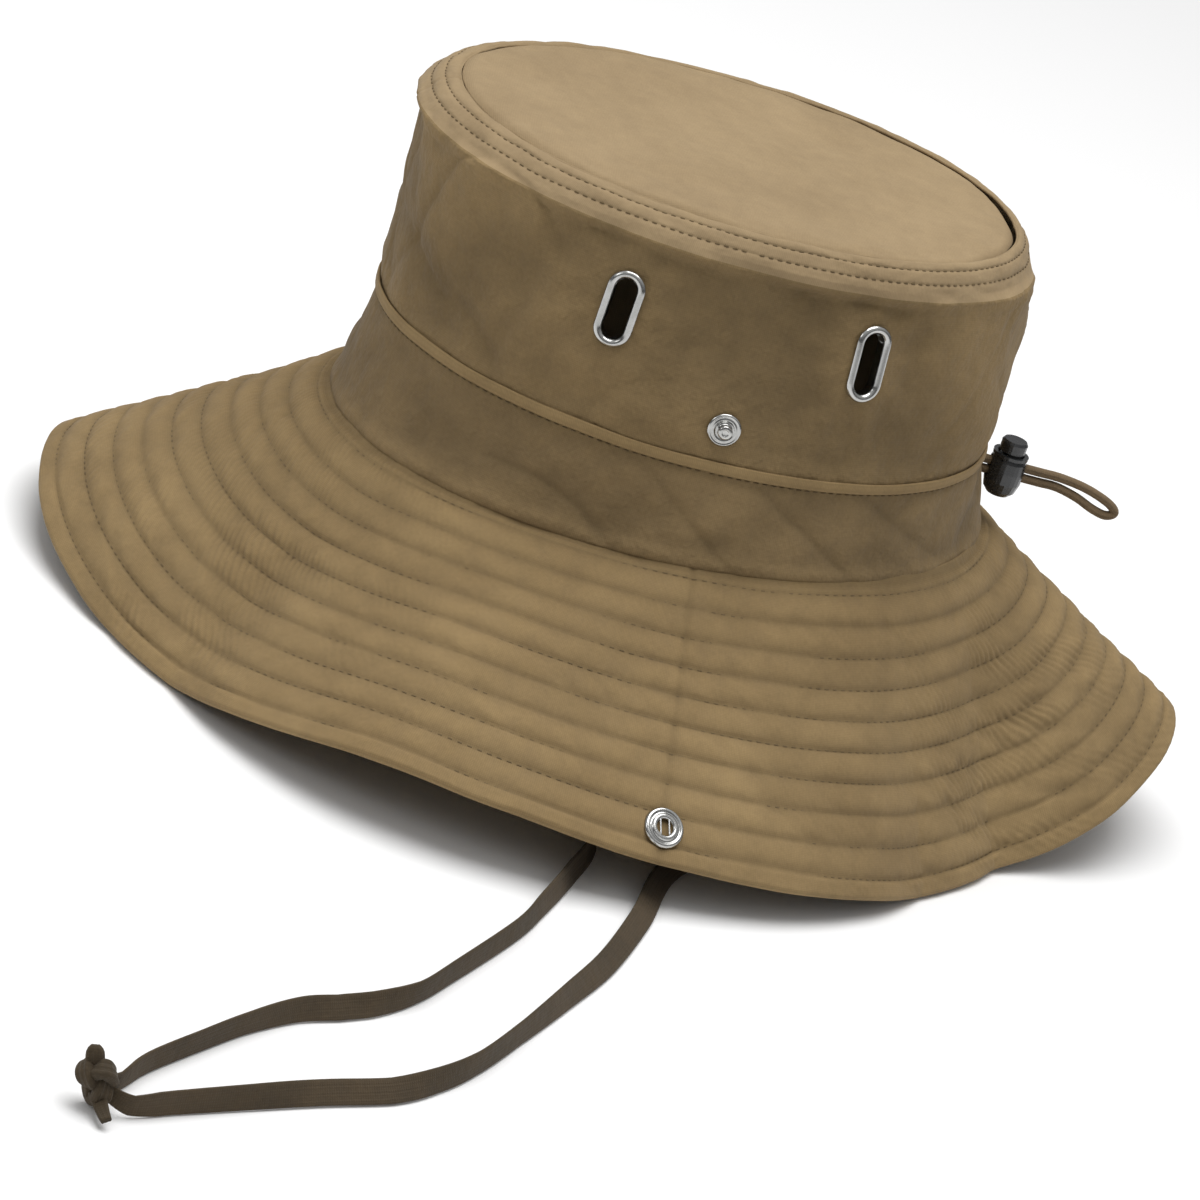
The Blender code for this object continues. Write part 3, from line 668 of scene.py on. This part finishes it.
def make_strap(label, route, twist):
    """One tape, on edge (0) or twisted towards flat (90), pinched where it enters the knot."""
    line = smooth_path(route, 10)
    last = len(route) - 1
    t = np.linspace(0.0, last, len(line))
    lean = np.radians(np.interp(t, np.arange(last + 1), twist))
    ahead = unit(np.gradient(line, axis=0))
    down = clamp((HUNG + 1.2 - t) / 1.6)[:, None]
    level = unit(np.cross(ahead, np.array((0.0, 0.0, 1.0))) + 1e-6)
    standing = np.cross(level, ahead)
    lying = standing * np.cos(lean)[:, None] + level * np.sin(lean)[:, None]
    sides = unit(np.array((0.0, 1.0, 0.0)) * down + lying * (1 - down))
    height = 0.5 * TAPE_WIDTH * np.cos(lean) + 0.5 * TAPE_THICK * np.sin(lean) + 0.06
    on_table = clamp(t - HUNG - 1.0)
    into_knot = clamp(t - (last - 1.0))
    line[:, 2] = line[:, 2] * (1 - on_table) + (height + into_knot * 3.0) * on_table
    narrow = 1.0 - 0.45 * clamp((t - (last - 1.6)) / 1.6)
    section = tape_section(TAPE_WIDTH, TAPE_THICK)
    return line, sweep(f"chin_tape_{label}", line, sides, section, STRAP, narrow)


def knot_piece(centre):
    """Overhand knot of flat tape, with two short cut tails."""
    across, away = np.array((0.213, 0.977, 0.0)), np.array((0.93, -0.20, 0.37))
    up = unit(np.array((0.0, 0.0, 1.0)) - 0.22 * across)
    t = np.linspace(0.0, 2 * np.pi, 181)
    a = (np.sin(t) + 2 * np.sin(2 * t)) / 3.0
    b = (np.cos(t) - 2 * np.cos(2 * t)) / 3.0
    path = (centre + up * (b * 5.3)[:, None] + across * (a * 3.7)[:, None]
            + away * (-np.sin(3 * t) * 2.5)[:, None])
    sides = np.cross(unit(np.gradient(path, axis=0)), unit(path - centre))
    pieces = [sweep("knot_wraps", path, sides, tape_section(5.4, 3.6, 3), STRAP)]
    core = [centre + up * d - away * 0.8 for d in np.linspace(-4.5, 4.5, 10)]
    pieces.append(sweep("knot_core", core, [across] * 10, tape_section(6.4, 4.6, 2), STRAP))
    high = [centre + up * (1.5 + d) - across * (0.9 + 0.05 * d) + away * (0.6 - 0.06 * d)
            for d in np.linspace(0.0, 7.6, 10)]
    pieces.append(sweep("knot_tail_0", high, [across] * 10, tape_section(4.9, 3.0, 3), STRAP,
                        np.array([1.0] * 6 + [0.98, 0.94, 0.8, 0.5])))
    start, run, curl = np.array((1.0, 0.6, -3.0)), np.array((1.05, 0.33, -0.42)), (0.0, 0.0, 0.018)
    low = [centre + start + run * d + np.array(curl) * d * d for d in np.linspace(0.0, 9.0, 10)]
    pieces.append(sweep("knot_tail_1", low, [across + up * 0.4] * 10, tape_section(4.6, 2.2, 3),
                        STRAP, np.linspace(1.0, 0.62, 10)))
    return pieces


def join(name, pieces):
    """One object from several of the same material."""
    bm = bmesh.new()
    mat = pieces[0].data.materials[0]
    for piece in pieces:
        bm.from_mesh(piece.data)
    mesh = bpy.data.meshes.new(name)
    bm.to_mesh(mesh)
    bm.free()
    mesh.materials.append(mat)
    mesh.shade_smooth()
    for piece in pieces:
        bpy.data.objects.remove(piece, do_unlink=True)
    return add_object(name, mesh)


def finish(obj, body, nodes=()):
    """Body and replaced nodes of a piece; a blended piece has no one body."""
    if body:
        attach(obj, body)
    if nodes:
        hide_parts(*nodes)


def finish_cord(obj, line, slot, node, digits, **facts):
    finish(obj, "hat", [node])


def make_cords():
    knot = join("strap_knot", knot_piece(np.array(KNOT_CENTRE)))
    for label, (route, twist) in TAPES.items():
        line, obj = make_strap(label, route, twist)
        finish_cord(obj, line, "strap_tape", f"chin_strap_{label}", 3, diameter=0.007,
                    far_end="knot", stiffness="limp", with_pieces=[knot] if label == "left" else ())
    finish(knot, "hat", ["chin_strap_knot"])

    loop = [*((0, y, CORD_LEVEL + CORD_GAP) for y in LOOP_RUN), *LOOP_END,
            *((0, y, CORD_LEVEL - CORD_GAP) for y in reversed(LOOP_RUN))]
    line = smooth_path(loop, 8)
    obj = sweep("pull_loop", line, [(1.0, 0.0, 0.0)] * len(line), round_section(1.4, 16), ELASTIC)
    finish_cord(obj, line, "elastic_cord", "drawcord", 4, diameter=0.0028, far_end="object",
                stiffness="medium")

    # the rest of the drawcord, once round inside the band
    gap = np.radians(3.6)
    a = np.pi / 2 + gap + (2 * np.pi - 2 * gap) * np.linspace(0, 1, 181)
    ring = wall(a, CORD_UP) - wall_normal(a, CORD_UP) * 2.8
    lift = CORD_LEVEL - float(wall(np.pi / 2, CORD_UP)[2])
    ring[:, 2] += np.linspace(-CORD_GAP, CORD_GAP, 181) + lift * np.maximum(0.0, np.sin(a))
    hidden = sweep("drawcord_in_band", ring, [(0.0, 0.0, 1.0)] * 181, round_section(1.3, 10),
                   ELASTIC)
    finish(hidden, "hat", ["drawcord"])


make_cords()


# ---- brim
ROW_GAP, FIRST_ROW, ROWS = 0.101, 0.935, 10  # stitch rows, as shares of the brim's width
EDGE_ROUND = 1.4  # radius of the brim's edge, mm
EDGE = EDGE_ROUND / BRIM_WIDTH
BRIM_MIDDLE = 1.3  # middle of the brim's thickness, mm
FOLD_SKEW = math.radians(8.8)  # hinge lines, as in part.py
FOLD_OUT = {1: 101.0, -1: 99.0}
FOLD_REACH = 11.0  # how far the bend spreads from its hinge line


def row_wave(angle, along):
    return waves(angle, along, (0.0035, 26, 5, 0.0, 3.0))


def brim_depths(angle, along):
    """Heights of the upper and lower cloth above the brim's lower surface."""
    phase = (FIRST_ROW + row_wave(angle, along) - along) / ROW_GAP
    channel = np.abs(np.sin(np.pi * np.maximum(phase, -0.5)))
    puff = channel ** 0.55
    puff = np.where(phase < 0.0, clamp(-phase / 0.13) ** 0.55 * 0.9, puff)
    puff = np.where(phase > 9.05, np.minimum(puff, 0.75), puff)
    # where the brim has been handled most, it puckers most
    wear_and_painted_relief_shade = hills(angle, (1.0, 66.0, 22.0), (1.0, -62.0, 26.0), (0.6, 120.0, 30.0),
                 (0.7, -130.0, 30.0))
    wear_and_painted_relief_shade = wear_and_painted_relief_shade * (0.55 + 0.45 * clamp(1.6 - np.abs(along - 0.62) * 3.0))
    patch = clamp(0.5 + around(angle, along, 18, 31, rows=5.0) * 0.9)
    ripple = waves(angle, phase, (1.0, 128, 7, 2.2, 0.9), (0.6, 210, 9, -1.6, 1.3))
    comb = np.sin(300.0 * angle + 14.0 * phase + 4.5 * around(angle, phase, 84, 17, rows=0.9))
    comb = comb * np.clip(0.55 + 1.3 * around(angle, phase, 54, 19, 0.7, 0.8), 0.0, 1.3)
    near = (1.0 - 0.45 * channel) * np.minimum(1.0, channel * 3.0)
    fine = (ripple * near * (0.10 + 0.18 * patch + 0.25 * wear_and_painted_relief_shade)
            + comb * near * (0.015 + 0.03 * patch + 0.34 * wear_and_painted_relief_shade ** 1.3))
    broad = waves(angle, along, (0.32, 40, 13, 0.0, 7.0))
    seam = (np.minimum(bump_at(angle, SIDE_SEAM, 0.55), 1.0)
            + bump_at(angle, 180.0 - SIDE_SEAM, 0.55))
    tuck = clamp((0.016 - along) / 0.016) ** 1.5
    upper = 1.90 + 1.25 * puff + fine + broad * puff - 0.5 * seam - 1.3 * tuck
    lower = 0.55 - 0.50 * puff + fine * 0.7
    return upper, np.minimum(lower, upper - 1.0)


def brim_grid(start, end, columns, rows):
    """Upper and lower grids of one half of the brim, with a rounded edge."""
    rim = 1.0 - EDGE + EDGE * np.sin(np.linspace(0.0, np.pi / 2, 8)[1:])
    along = np.concatenate([np.linspace(-0.034, 1.0 - EDGE, rows), rim])
    angle, along = np.meshgrid(np.linspace(start, end, columns), along, indexing="ij")
    upper, lower = brim_depths(angle, along)
    # relief for painted shade in the channels between the rows and painted light on the puffs
    relief = (upper - 2.95) / 0.55
    edge = clamp((along - (1.0 - EDGE)) / EDGE)
    thin = np.maximum(np.sqrt(np.maximum(1.0 - edge ** 2, 0.0)), 0.03)
    upper = BRIM_MIDDLE + (upper - BRIM_MIDDLE) * thin
    lower = BRIM_MIDDLE + (lower - BRIM_MIDDLE) * thin
    base, way = brim_lower(angle, along), brim_normal(angle, along)
    wobble = waves(angle, along, (0.35, 60, 44, 0.0, 0.1)) * edge
    drift = outward(angle) * wobble[..., None]
    uv = np.stack([angle * 0.13, along * BRIM_WIDTH * MM], -1)
    return base + way * upper[..., None] + drift, base + way * lower[..., None] + drift, uv, relief


def brim_rows(start, end, top_side):
    """Lines of the stitch rows on one side of the brim, with their normals."""
    lines, ups = [], []
    for k in range(ROWS):
        angle = np.linspace(start, end, 420)
        along = np.full_like(angle, FIRST_ROW - ROW_GAP * k)
        place = along + row_wave(angle, along + row_wave(angle, along))
        upper, lower = brim_depths(angle, place)
        way = brim_normal(angle, place)
        depth = upper if top_side else lower
        lines.append(brim_lower(angle, place) + way * depth[:, None])
        ups.append(way if top_side else -way)
    return lines, ups


def sharpen_ends(obj, columns, rows):
    """Keeps the cut ends of a sheet from bending the shading of its faces."""
    mesh = obj.data
    kinds = mesh.attributes
    edges = kinds.get("sharp_edge") or kinds.new("sharp_edge", "BOOLEAN", "EDGE")
    pairs = np.zeros(len(mesh.edges) * 2, dtype=np.int32)
    mesh.edges.foreach_get("vertices", pairs)
    column = (pairs.reshape(-1, 2) % (columns * rows)) // rows
    edges.data.foreach_set("value", (column == 0).all(1) | (column == columns - 1).all(1))


def blend_flap(obj, side):
    """Bends cloth and thread over the flap's hinge line."""
    out = np.array((side * math.cos(FOLD_SKEW), math.sin(FOLD_SKEW), 0.0))
    point = np.array((side * FOLD_OUT[side], 0.0, 60.0))
    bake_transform(obj, "hat", "left_flap" if side > 0 else "right_flap",
             start=tuple(put(point - out * FOLD_REACH)), end=tuple(put(point + out * FOLD_REACH)))


def make_brim():
    """Left and right halves, each with its rows of thread above and below."""
    layers = [f"brim_{layer}_{half}" for layer in ("upper", "under") for half in ("front", "back")]
    layers.append("brim_interlining")
    for (side, label), start in zip(SIDES, (-np.pi / 2, np.pi / 2)):
        end = start + np.pi
        top, bottom, uv, relief = brim_grid(start, end, 640, 124)
        cloth = closed_sheet(f"brim_cloth_{label}", top, bottom, BRIM_CLOTH_PAINTED_SHADE, uv, relief=relief)
        sharpen_ends(cloth, *top.shape[:2])
        flap_layers = [f"{layer}_{label}_flap" for layer in layers]
        finish(cloth, None, flap_layers + layers)
        blend_flap(cloth, side)
        for face in ("top", "under"):
            lines, ups = brim_rows(start, end, face == "top")
            thread = stitches(f"brim_stitches_{label}_{face}", lines, ups, 3.0, 2.1, 0.24)
            finish(thread, None)
            blend_flap(thread, side)


make_brim()


# ---- hardware places
def wall_at(side, y, z):
    """Point, normal, angle and level on the crown's side at a given y and height, by steps."""
    angle, up = np.arcsin((y - FOLD_RING[2] * 0.5) / 96.0), 1.5
    for _ in range(40):
        up += (z - wall(angle, up)[2]) / 60.0
        angle += (y - wall(angle, up)[1]) / 100.0
    flip = np.array((side, 1.0, 1.0))
    place = float(angle) if side > 0 else math.pi - float(angle)
    return wall(angle, up) * flip, wall_normal(angle, up) * flip, place, float(up)


VENT_PLACES = [(f"{label}_{place}", *wall_at(side, y, z)) for side, label in SIDES
               for place, (y, z) in zip(("front", "back"), VENTS)]
STUD_PLACES = [(label, *wall_at(side, STUD_Y, STUD_Z)) for side, label in SIDES]


# ---- crown
TOPSTITCH = (2.70, 2.44)  # levels of the two rows on the shoulder
PANEL_END = 2.985  # level where the side panels end, at the tip's seam
SIDE_TOP = 2.19  # level up to which the side has the cloth darkened as painted shade
COLUMNS = 520
STAND = 1.2  # how far the tip's middle stands above its edge, mm


def crease(angle, v, count, seed, shear, rows):
    """Thin folds: ridged noise, 0 to 1."""
    return (1.0 - np.abs(around(angle, v, count, seed, shear, rows))) ** 5.0


def stitch_level(angle, row):
    """Level of a row of topstitching, which wanders a little."""
    return row + 0.012 * around(angle, angle * 0 + row, 34, 77)


def wall_out(angle, up):
    """How far the side panels stand out from the plain wall, in mm."""
    v = up - 1.0
    body = clamp((up - 1.02) / 0.12) * clamp((2.30 - up) / 0.25)
    broad = waves(angle, v, (0.75, 9, 51, 0.5, 1.3), (0.55, 24, 53, 1.5, 1.6),
                  (0.30, 36, 55, -1.4, 2.8))
    limp = hills(angle, (0.75, -62.0, 28.0), (0.55, 130.0, 45.0), (0.5, -150.0, 40.0))
    folds = (crease(angle, v, 15, 61, 1.0, 0.9) * (0.35 + 0.9 * limp)
             + 0.6 * crease(angle, v, 20, 67, -1.1, 1.3) * (0.4 + 0.6 * limp))
    small = waves(angle, v, (0.16, 64, 71, 1.5, 9.0))
    out = body * (broad * 2.7 - 2.3 * folds + small * 1.8)
    # the loose ring between shoulder and tip, its sunk seams and its turned edge
    ring = clamp((up - 2.05) / 0.15)
    loose = waves(angle, v, (0.30, 60, 73, 3.0, 5.0), (0.16, 128, 75, -2.0, 7.0))
    out = out + ring * loose * clamp((3.02 - up) / 0.1)
    for row, depth in ((TOPSTITCH[0], 0.55), (TOPSTITCH[1], 0.42), (2.965, 0.7)):
        out = out - depth * np.exp(-np.abs(up - stitch_level(angle, row)) / 0.035)
    shoulder = 0.8 + 0.35 * around(angle, v * 0, 22, 79)
    out = out + 1.5 * np.exp(-np.abs(up - 2.17) / 0.13) * shoulder
    # cloth lies flat under the metal, with puckers round the vents and a dent round the studs
    for *_, place, level in VENT_PLACES:
        turn = turn_gap(angle, place)
        gap = np.hypot(turn, (up - level) * 0.5)
        rays = np.cos(9.0 * np.arctan2((up - level) * 0.62, turn) + level * 7)
        flat = np.exp(-(gap / 0.16) ** 4)
        out = out * (1 - flat) + 0.7 * rays * np.exp(-(gap / 0.26) ** 2) * (1 - flat)
    for *_, place, level in STUD_PLACES:
        gap = np.hypot(turn_gap(angle, place), (up - level) * 0.62)
        dent = 0.25 * np.exp(-(gap / 0.10) ** 2) * (1 - np.exp(-(gap / 0.06) ** 4))
        out = out * (1 - np.exp(-(gap / 0.075) ** 4)) - dent
    seam = np.minimum(np.abs(turn_gap(angle, np.pi / 2)), np.abs(turn_gap(angle, -np.pi / 2)))
    return out - 0.55 * np.exp(-seam * 90.0 / 0.7) * (up < 2.98)


def on_wall(angle, up, out):
    return wall(angle, up) + wall_normal(angle, up) * np.asarray(out)[..., None]


def hole_at(points, straight, radius):
    """Quads whose middle falls in one of the oblong vents."""
    after = np.roll(points, -1, axis=0)
    middle = (points[:, :-1] + after[:, :-1] + points[:, 1:] + after[:, 1:]) / 4
    gone = np.zeros(middle.shape[:2], bool)
    for _, centre, way, *_ in VENT_PLACES:
        across, high, deep = ((middle - centre) @ axis for axis in axes_for(way))
        beyond = np.maximum(np.abs(high) - straight, 0.0)
        gone |= (np.hypot(across, beyond) < radius) & (np.abs(deep) < 8.0)
    return gone


def loop_grid(columns, levels):
    """Angle and level grids, once round the hat."""
    angle = np.arange(columns) * 2 * np.pi / columns
    return np.meshgrid(angle, levels, indexing="ij")


def make_crown_wall():
    """Side panels with their turned shoulder, seams, vents and topstitching."""
    levels = np.concatenate([np.linspace(1.02, 2.05, 60), np.linspace(2.065, PANEL_END, 62)])
    angle, up = loop_grid(COLUMNS, levels)
    out = wall_out(angle, up)
    top, bottom = on_wall(angle, up, out), on_wall(angle, up, out - 0.9)
    uv = np.stack([angle * 0.088, up * 0.05], -1)
    # out / 1.5 is the relief: painted shade in the folds and seams, painted light on the bulges
    cloth = closed_sheet("crown_wall_cloth", top, bottom, CLOTH, uv, True,
                         hole_at(top, 6.0, 4.1), out / 1.5)
    # faces below SIDE_TOP take the cloth darkened as painted shade; the shoulder's turn hides the change
    cloth.data.materials.append(SIDE_CLOTH_PAINTED_SHADE)
    corners = np.array([face.vertices[0] for face in cloth.data.polygons])
    lower = levels[corners % levels.size] < SIDE_TOP
    cloth.data.polygons.foreach_set("material_index", lower.astype(np.int32))
    finish(cloth, "hat", ["crown_side_left", "crown_side_right"])

    a = np.linspace(0, 2 * np.pi, 900)
    rows = [(a, stitch_level(a, row)) for row in TOPSTITCH]
    up = np.linspace(1.08, 2.40, 120)
    rows += [(np.full_like(up, np.pi / 2 + shift), up) for shift in (-0.020, 0.020)]
    thread = stitches("crown_topstitching",
                      [on_wall(a, level, wall_out(a, level)) for a, level in rows],
                      [wall_normal(a, level) for a, level in rows])
    finish(thread, "hat")


def make_tip():
    """Slightly puffed tip, puckered along its seam."""
    rings = np.concatenate([np.linspace(0.0, 0.9, 60), np.linspace(0.905, 0.997, 34)])
    angle, scale = loop_grid(440, rings)
    edge = oval(TIP_RING, angle, ROUNDNESS)
    middle = np.array((0.0, TIP_RING[2], TIP_RING[3] + STAND))
    point = middle + (edge - middle) * scale[..., None]
    point[..., 2] = middle[2] - STAND * clamp((scale - 0.8) / 0.2) ** 2
    rim = clamp((scale - 0.955) / 0.045)
    point[..., 2] -= 1.7 * rim ** 2.2
    x, y = point[..., 0] / 24.0 + 8, point[..., 1] / 24.0 + 8
    calm = clamp((0.95 - scale) / 0.2)
    lift = (0.55 * (noise(x, y, 91) + 0.5 * noise(x * 2, y * 2, 92))
            * np.clip(scale * 3.0, 0.2, 1.0) * (0.5 + 0.5 * calm))
    pucker = waves(angle, scale, (0.42, 46, 93, 2.0, 9.0), (0.25, 100, 95, -3.0, 12.0))
    lift = lift + pucker * np.exp(-((scale - 0.93) / 0.05) ** 2)
    point[..., 2] += lift - 0.35
    drift = waves(angle, scale * 0, (0.8, 30, 97, 0.0, 1.0)) * rim
    point[..., :2] += (edge - middle)[..., :2] / 90.0 * drift[..., None]
    under = point.copy()
    under[..., 2] -= 0.9
    obj = closed_sheet("crown_tip_cloth", point, under, CLOTH, point[..., :2] * MM, True)
    tidy_mesh(obj)
    finish(obj, "hat", ["crown_tip"])


def band_out(angle, up):
    """How far the band stands out from the plain wall, in mm."""
    soft = clamp((up - 0.02) / 0.15) * clamp((0.97 - up) / 0.15)
    wrinkle = (waves(angle, up, (0.55, 14, 101, 1.2, 1.6), (0.30, 36, 103, -2.4, 2.6))
               - 0.55 * crease(angle, up, 17, 105, 1.1, 1.0)
               - waves(angle, up, (0.10, 90, 107, 1.0, 6.0)))
    foot = 0.75 * np.exp(-((up - 0.13) / 0.075) ** 2)
    return soft * wrinkle * 1.7 + foot


def make_band():
    """Band of the crown with its turned edge and a row of stitches."""
    levels = np.concatenate([[0.028, 0.040], np.linspace(0.055, 0.97, 52)])
    angle, up = loop_grid(COLUMNS, levels)
    out = band_out(angle, up) - 1.0 * clamp((0.075 - up) / 0.03) ** 2
    top, bottom = on_wall(angle, up, out), on_wall(angle, up, out - 0.85)
    uv = np.stack([angle * 0.09, up * 0.033 + 0.2], -1)
    # out / 0.75 is the relief: painted shade in the wrinkles and at the band's foot, painted light on the
    # ridges
    obj = closed_sheet("crown_band_cloth", top, bottom, BAND_CLOTH_PAINTED_SHADE, uv, True, relief=out / 0.75)
    finish(obj, "hat", ["crown_band"])

    # turned edge, a ring of its own round the top of the band
    sides = 20
    angle, t = loop_grid(COLUMNS, np.linspace(0, 2 * np.pi, sides, endpoint=False))
    drift = waves(angle, angle * 0, (0.004, 30, 111, 0.0, 1.0))
    centre = np.maximum(0.55 + 0.12 * around(angle, angle * 0, 50, 113), 0.3)
    up = 1.0 + drift + 0.040 * np.sign(np.cos(t)) * np.abs(np.cos(t)) ** 0.7
    ring = on_wall(angle, up, centre + 0.62 * np.sin(t))
    uv = np.stack([angle * 0.09, t * 0.0006], -1).reshape(-1, 2)
    piping = new_object("band_turned_edge", put(ring.reshape(-1, 3)),
                        tube_faces(COLUMNS, sides, True), BRIM_CLOTH_PAINTED_SHADE, uv)
    finish(piping, "hat", ["crown_band_piping"])

    a = np.linspace(0, 2 * np.pi, 900)
    level = 0.945 + 0.003 * around(a, a * 0, 30, 111)
    line = on_wall(a, level, band_out(a, level) + 0.05)
    thread = stitches("band_topstitching", [line], [wall_normal(a, level)], radius=0.2)
    finish(thread, "hat")


def make_sweatband():
    levels = np.concatenate([np.linspace(0.03, 1.0, 34), np.linspace(1.02, 1.15, 8)])
    angle, up = loop_grid(360, levels)
    wave = waves(angle, up, (0.25, 22, 121, 1.0, 2.0))
    seam = 0.3 * np.exp(-np.abs(up - 0.12) / 0.03)
    top = on_wall(angle, up, -4.9 + wave * 0.5)
    bottom = on_wall(angle, up, -5.7 + wave + seam * 0.6)
    uv = np.stack([angle * 0.083, up * 0.033], -1)
    obj = closed_sheet("sweatband_twill", top, bottom, LINING, uv, True)
    finish(obj, "hat", ["sweatband"])
    a = np.linspace(0, 2 * np.pi, 800)
    lines = [on_wall(a, level, -5.78) for level in (0.12, 1.08)]
    thread = stitches("sweatband_stitching", lines, [-wall_normal(a, 0.6)] * 2, 3.0, 2.1, 0.2)
    finish(thread, "hat")


make_crown_wall()
make_tip()
make_band()
make_sweatband()


# ---- metal and lock
# Profiles in mm: distance from the axis (from the inside of the oblong's bends), then height.
VENT_RING = [(3.0, -2.7), (3.5, -2.7), (3.5, 0.25), (5.6, 0.25), (5.75, 0.6), (5.35, 1.2),
             (4.6, 1.55), (3.8, 1.3), (3.25, 0.6), (3.0, -0.6)]
VENT_WASHER = [(3.8, -2.1), (5.5, -2.1), (5.5, -1.6), (3.8, -1.6)]
STUD = [(0.0, 1.05), (0.95, 1.05), (0.95, 0.3), (5.0, 0.3), (5.0, 0.75), (4.5, 1.15), (3.9, 0.95),
        (3.3, 1.2), (2.6, 0.95), (2.05, 1.1), (1.75, 1.9), (2.25, 2.7), (1.9, 3.3), (1.1, 3.45),
        (0.9, 3.2), (0.0, 3.15)]
STUD_POST = [(0.0, -2.4), (4.6, -2.3), (4.8, -1.6), (0.75, -1.6), (0.75, 0.9), (0.0, 0.9)]
SOCKET = [(2.5, 2.95), (6.2, 2.95), (6.2, 3.5), (5.75, 4.15), (5.1, 4.25), (4.6, 3.85), (4.1, 4.1),
          (3.8, 4.55), (3.0, 4.6), (2.5, 4.1)]
SOCKET_CAP = [(0.0, -0.7), (1.3, -0.7), (1.3, 2.3), (1.9, 2.3), (1.9, -0.35), (5.8, -0.35),
              (5.8, -0.8), (3.8, -1.3), (0.0, -1.5)]
VENT_STRAIGHT = 6.0  # half the straight part of a vent
WIRE_OUT, WIRE_SIDE, WIRE_HALF = 4.05, 1.35, 2.6


def make_hardware():
    for place, centre, way, *_ in VENT_PLACES:
        ring = oblong(f"vent_ring_{place}", VENT_RING, centre, way, VENT_STRAIGHT)
        finish(ring, "hat", [f"vent_eyelet_{place}"])
        washer = oblong(f"vent_back_{place}", VENT_WASHER, centre, way, VENT_STRAIGHT, 1)
        finish(washer, "hat", [f"vent_washer_{place}"])
    for label, centre, way, *_ in STUD_PLACES:
        stud = lathe(f"stud_{label}", STUD, centre, way)
        finish(stud, "hat", [f"snap_stud_{label}"])
        post = lathe(f"stud_rivet_{label}", STUD_POST, centre, way, passes=1)
        finish(post, "hat", [f"snap_stud_post_{label}"])
    for side, label in SIDES:
        body, seam = f"{label}_flap", math.radians(SIDE_SEAM)
        angle = seam if side > 0 else math.pi - seam
        centre, way = brim_lower(angle, SNAP_ALONG), brim_normal(angle, SNAP_ALONG)
        socket = lathe(f"socket_{label}", SOCKET, centre, way, closed=True)
        finish(socket, body, [f"snap_socket_{label}"])
        cap = lathe(f"socket_cap_{label}", SOCKET_CAP, centre, way, passes=1)
        finish(cap, body, [f"snap_cap_{label}"])
        # spring wires across the socket's mouth
        right, up, out = axes_for(way)
        wires = []
        for k in (-1, 1):
            line = [centre + out * WIRE_OUT + right * (k * WIRE_SIDE) + up * t
                    for t in np.linspace(-WIRE_HALF, WIRE_HALF, 9)]
            wires.append(sweep("wire", line, [right] * 9, round_section(0.28, 8), STEEL))
        finish(join(f"socket_wires_{label}", wires), body)


make_hardware()

# CAD parts that keep their shape
for node, mat in (("cord_lock_barrel", BLACK), ("cord_lock_plunger", BLACK),
                     ("cord_lock_spring", STEEL), ("chin_strap_tab_left", LINING),
                     ("chin_strap_tab_right", LINING)):
    for slot in bpy.data.objects[node].material_slots:
        slot.material = mat


# ---- stage
def area_light(name, place, target, size, power):
    data = bpy.data.lights.new(name, "AREA")
    data.shape = "RECTANGLE"
    data.size = data.size_y = size
    data.energy = power
    lamp = add_object(name, data)
    lamp.location = place
    lamp.rotation_mode = "QUATERNION"
    lamp.rotation_quaternion = (Vector(target) - Vector(place)).to_track_quat("-Z", "Y")


def make_stage():
    """Pale floor, two softboxes and a sky that brightens upwards."""
    mat, tree, shader = node_material("pale_floor", 0.85)
    shader.inputs["Base Color"].default_value = (0.93, 0.93, 0.93, 1.0)
    n, half = 24, 6.0
    grid = np.linspace(-half, half, n)
    x, y = np.meshgrid(grid, grid, indexing="ij")
    verts = np.stack([x, y, np.full_like(x, -0.0002)], -1).reshape(-1, 3)
    faces = [(i * n + j, (i + 1) * n + j, (i + 1) * n + j + 1, i * n + j + 1)
             for i in range(n - 1) for j in range(n - 1)]
    new_object("studio_floor", verts, faces, mat)
    world = bpy.data.worlds.new("studio")
    world.use_nodes = True
    tree = world.node_tree
    sky = tree.nodes["Background"]
    coord = new_node(tree, "TexCoord")
    split = new_node(tree, "SeparateXYZ")
    link(tree, coord.outputs["Generated"], split.inputs["Vector"])
    link(tree, ramp(tree, split.outputs["Z"], 0.05, 0.75, 0.10, 0.55), sky.inputs["Strength"])
    sky.inputs["Color"].default_value = (1.0, 1.0, 1.0, 1.0)
    bpy.context.scene.world = world
    bpy.context.scene.view_settings.view_transform = "Standard"
    area_light("top_softbox", (0.02, 0.0, 1.7), (0.0, 0.0, 0.05), 1.4, 27.0)
    area_light("front_softbox", (0.8, -1.9, 1.25), (0.0, 0.0, 0.08), 0.7, 4.2)


make_stage()
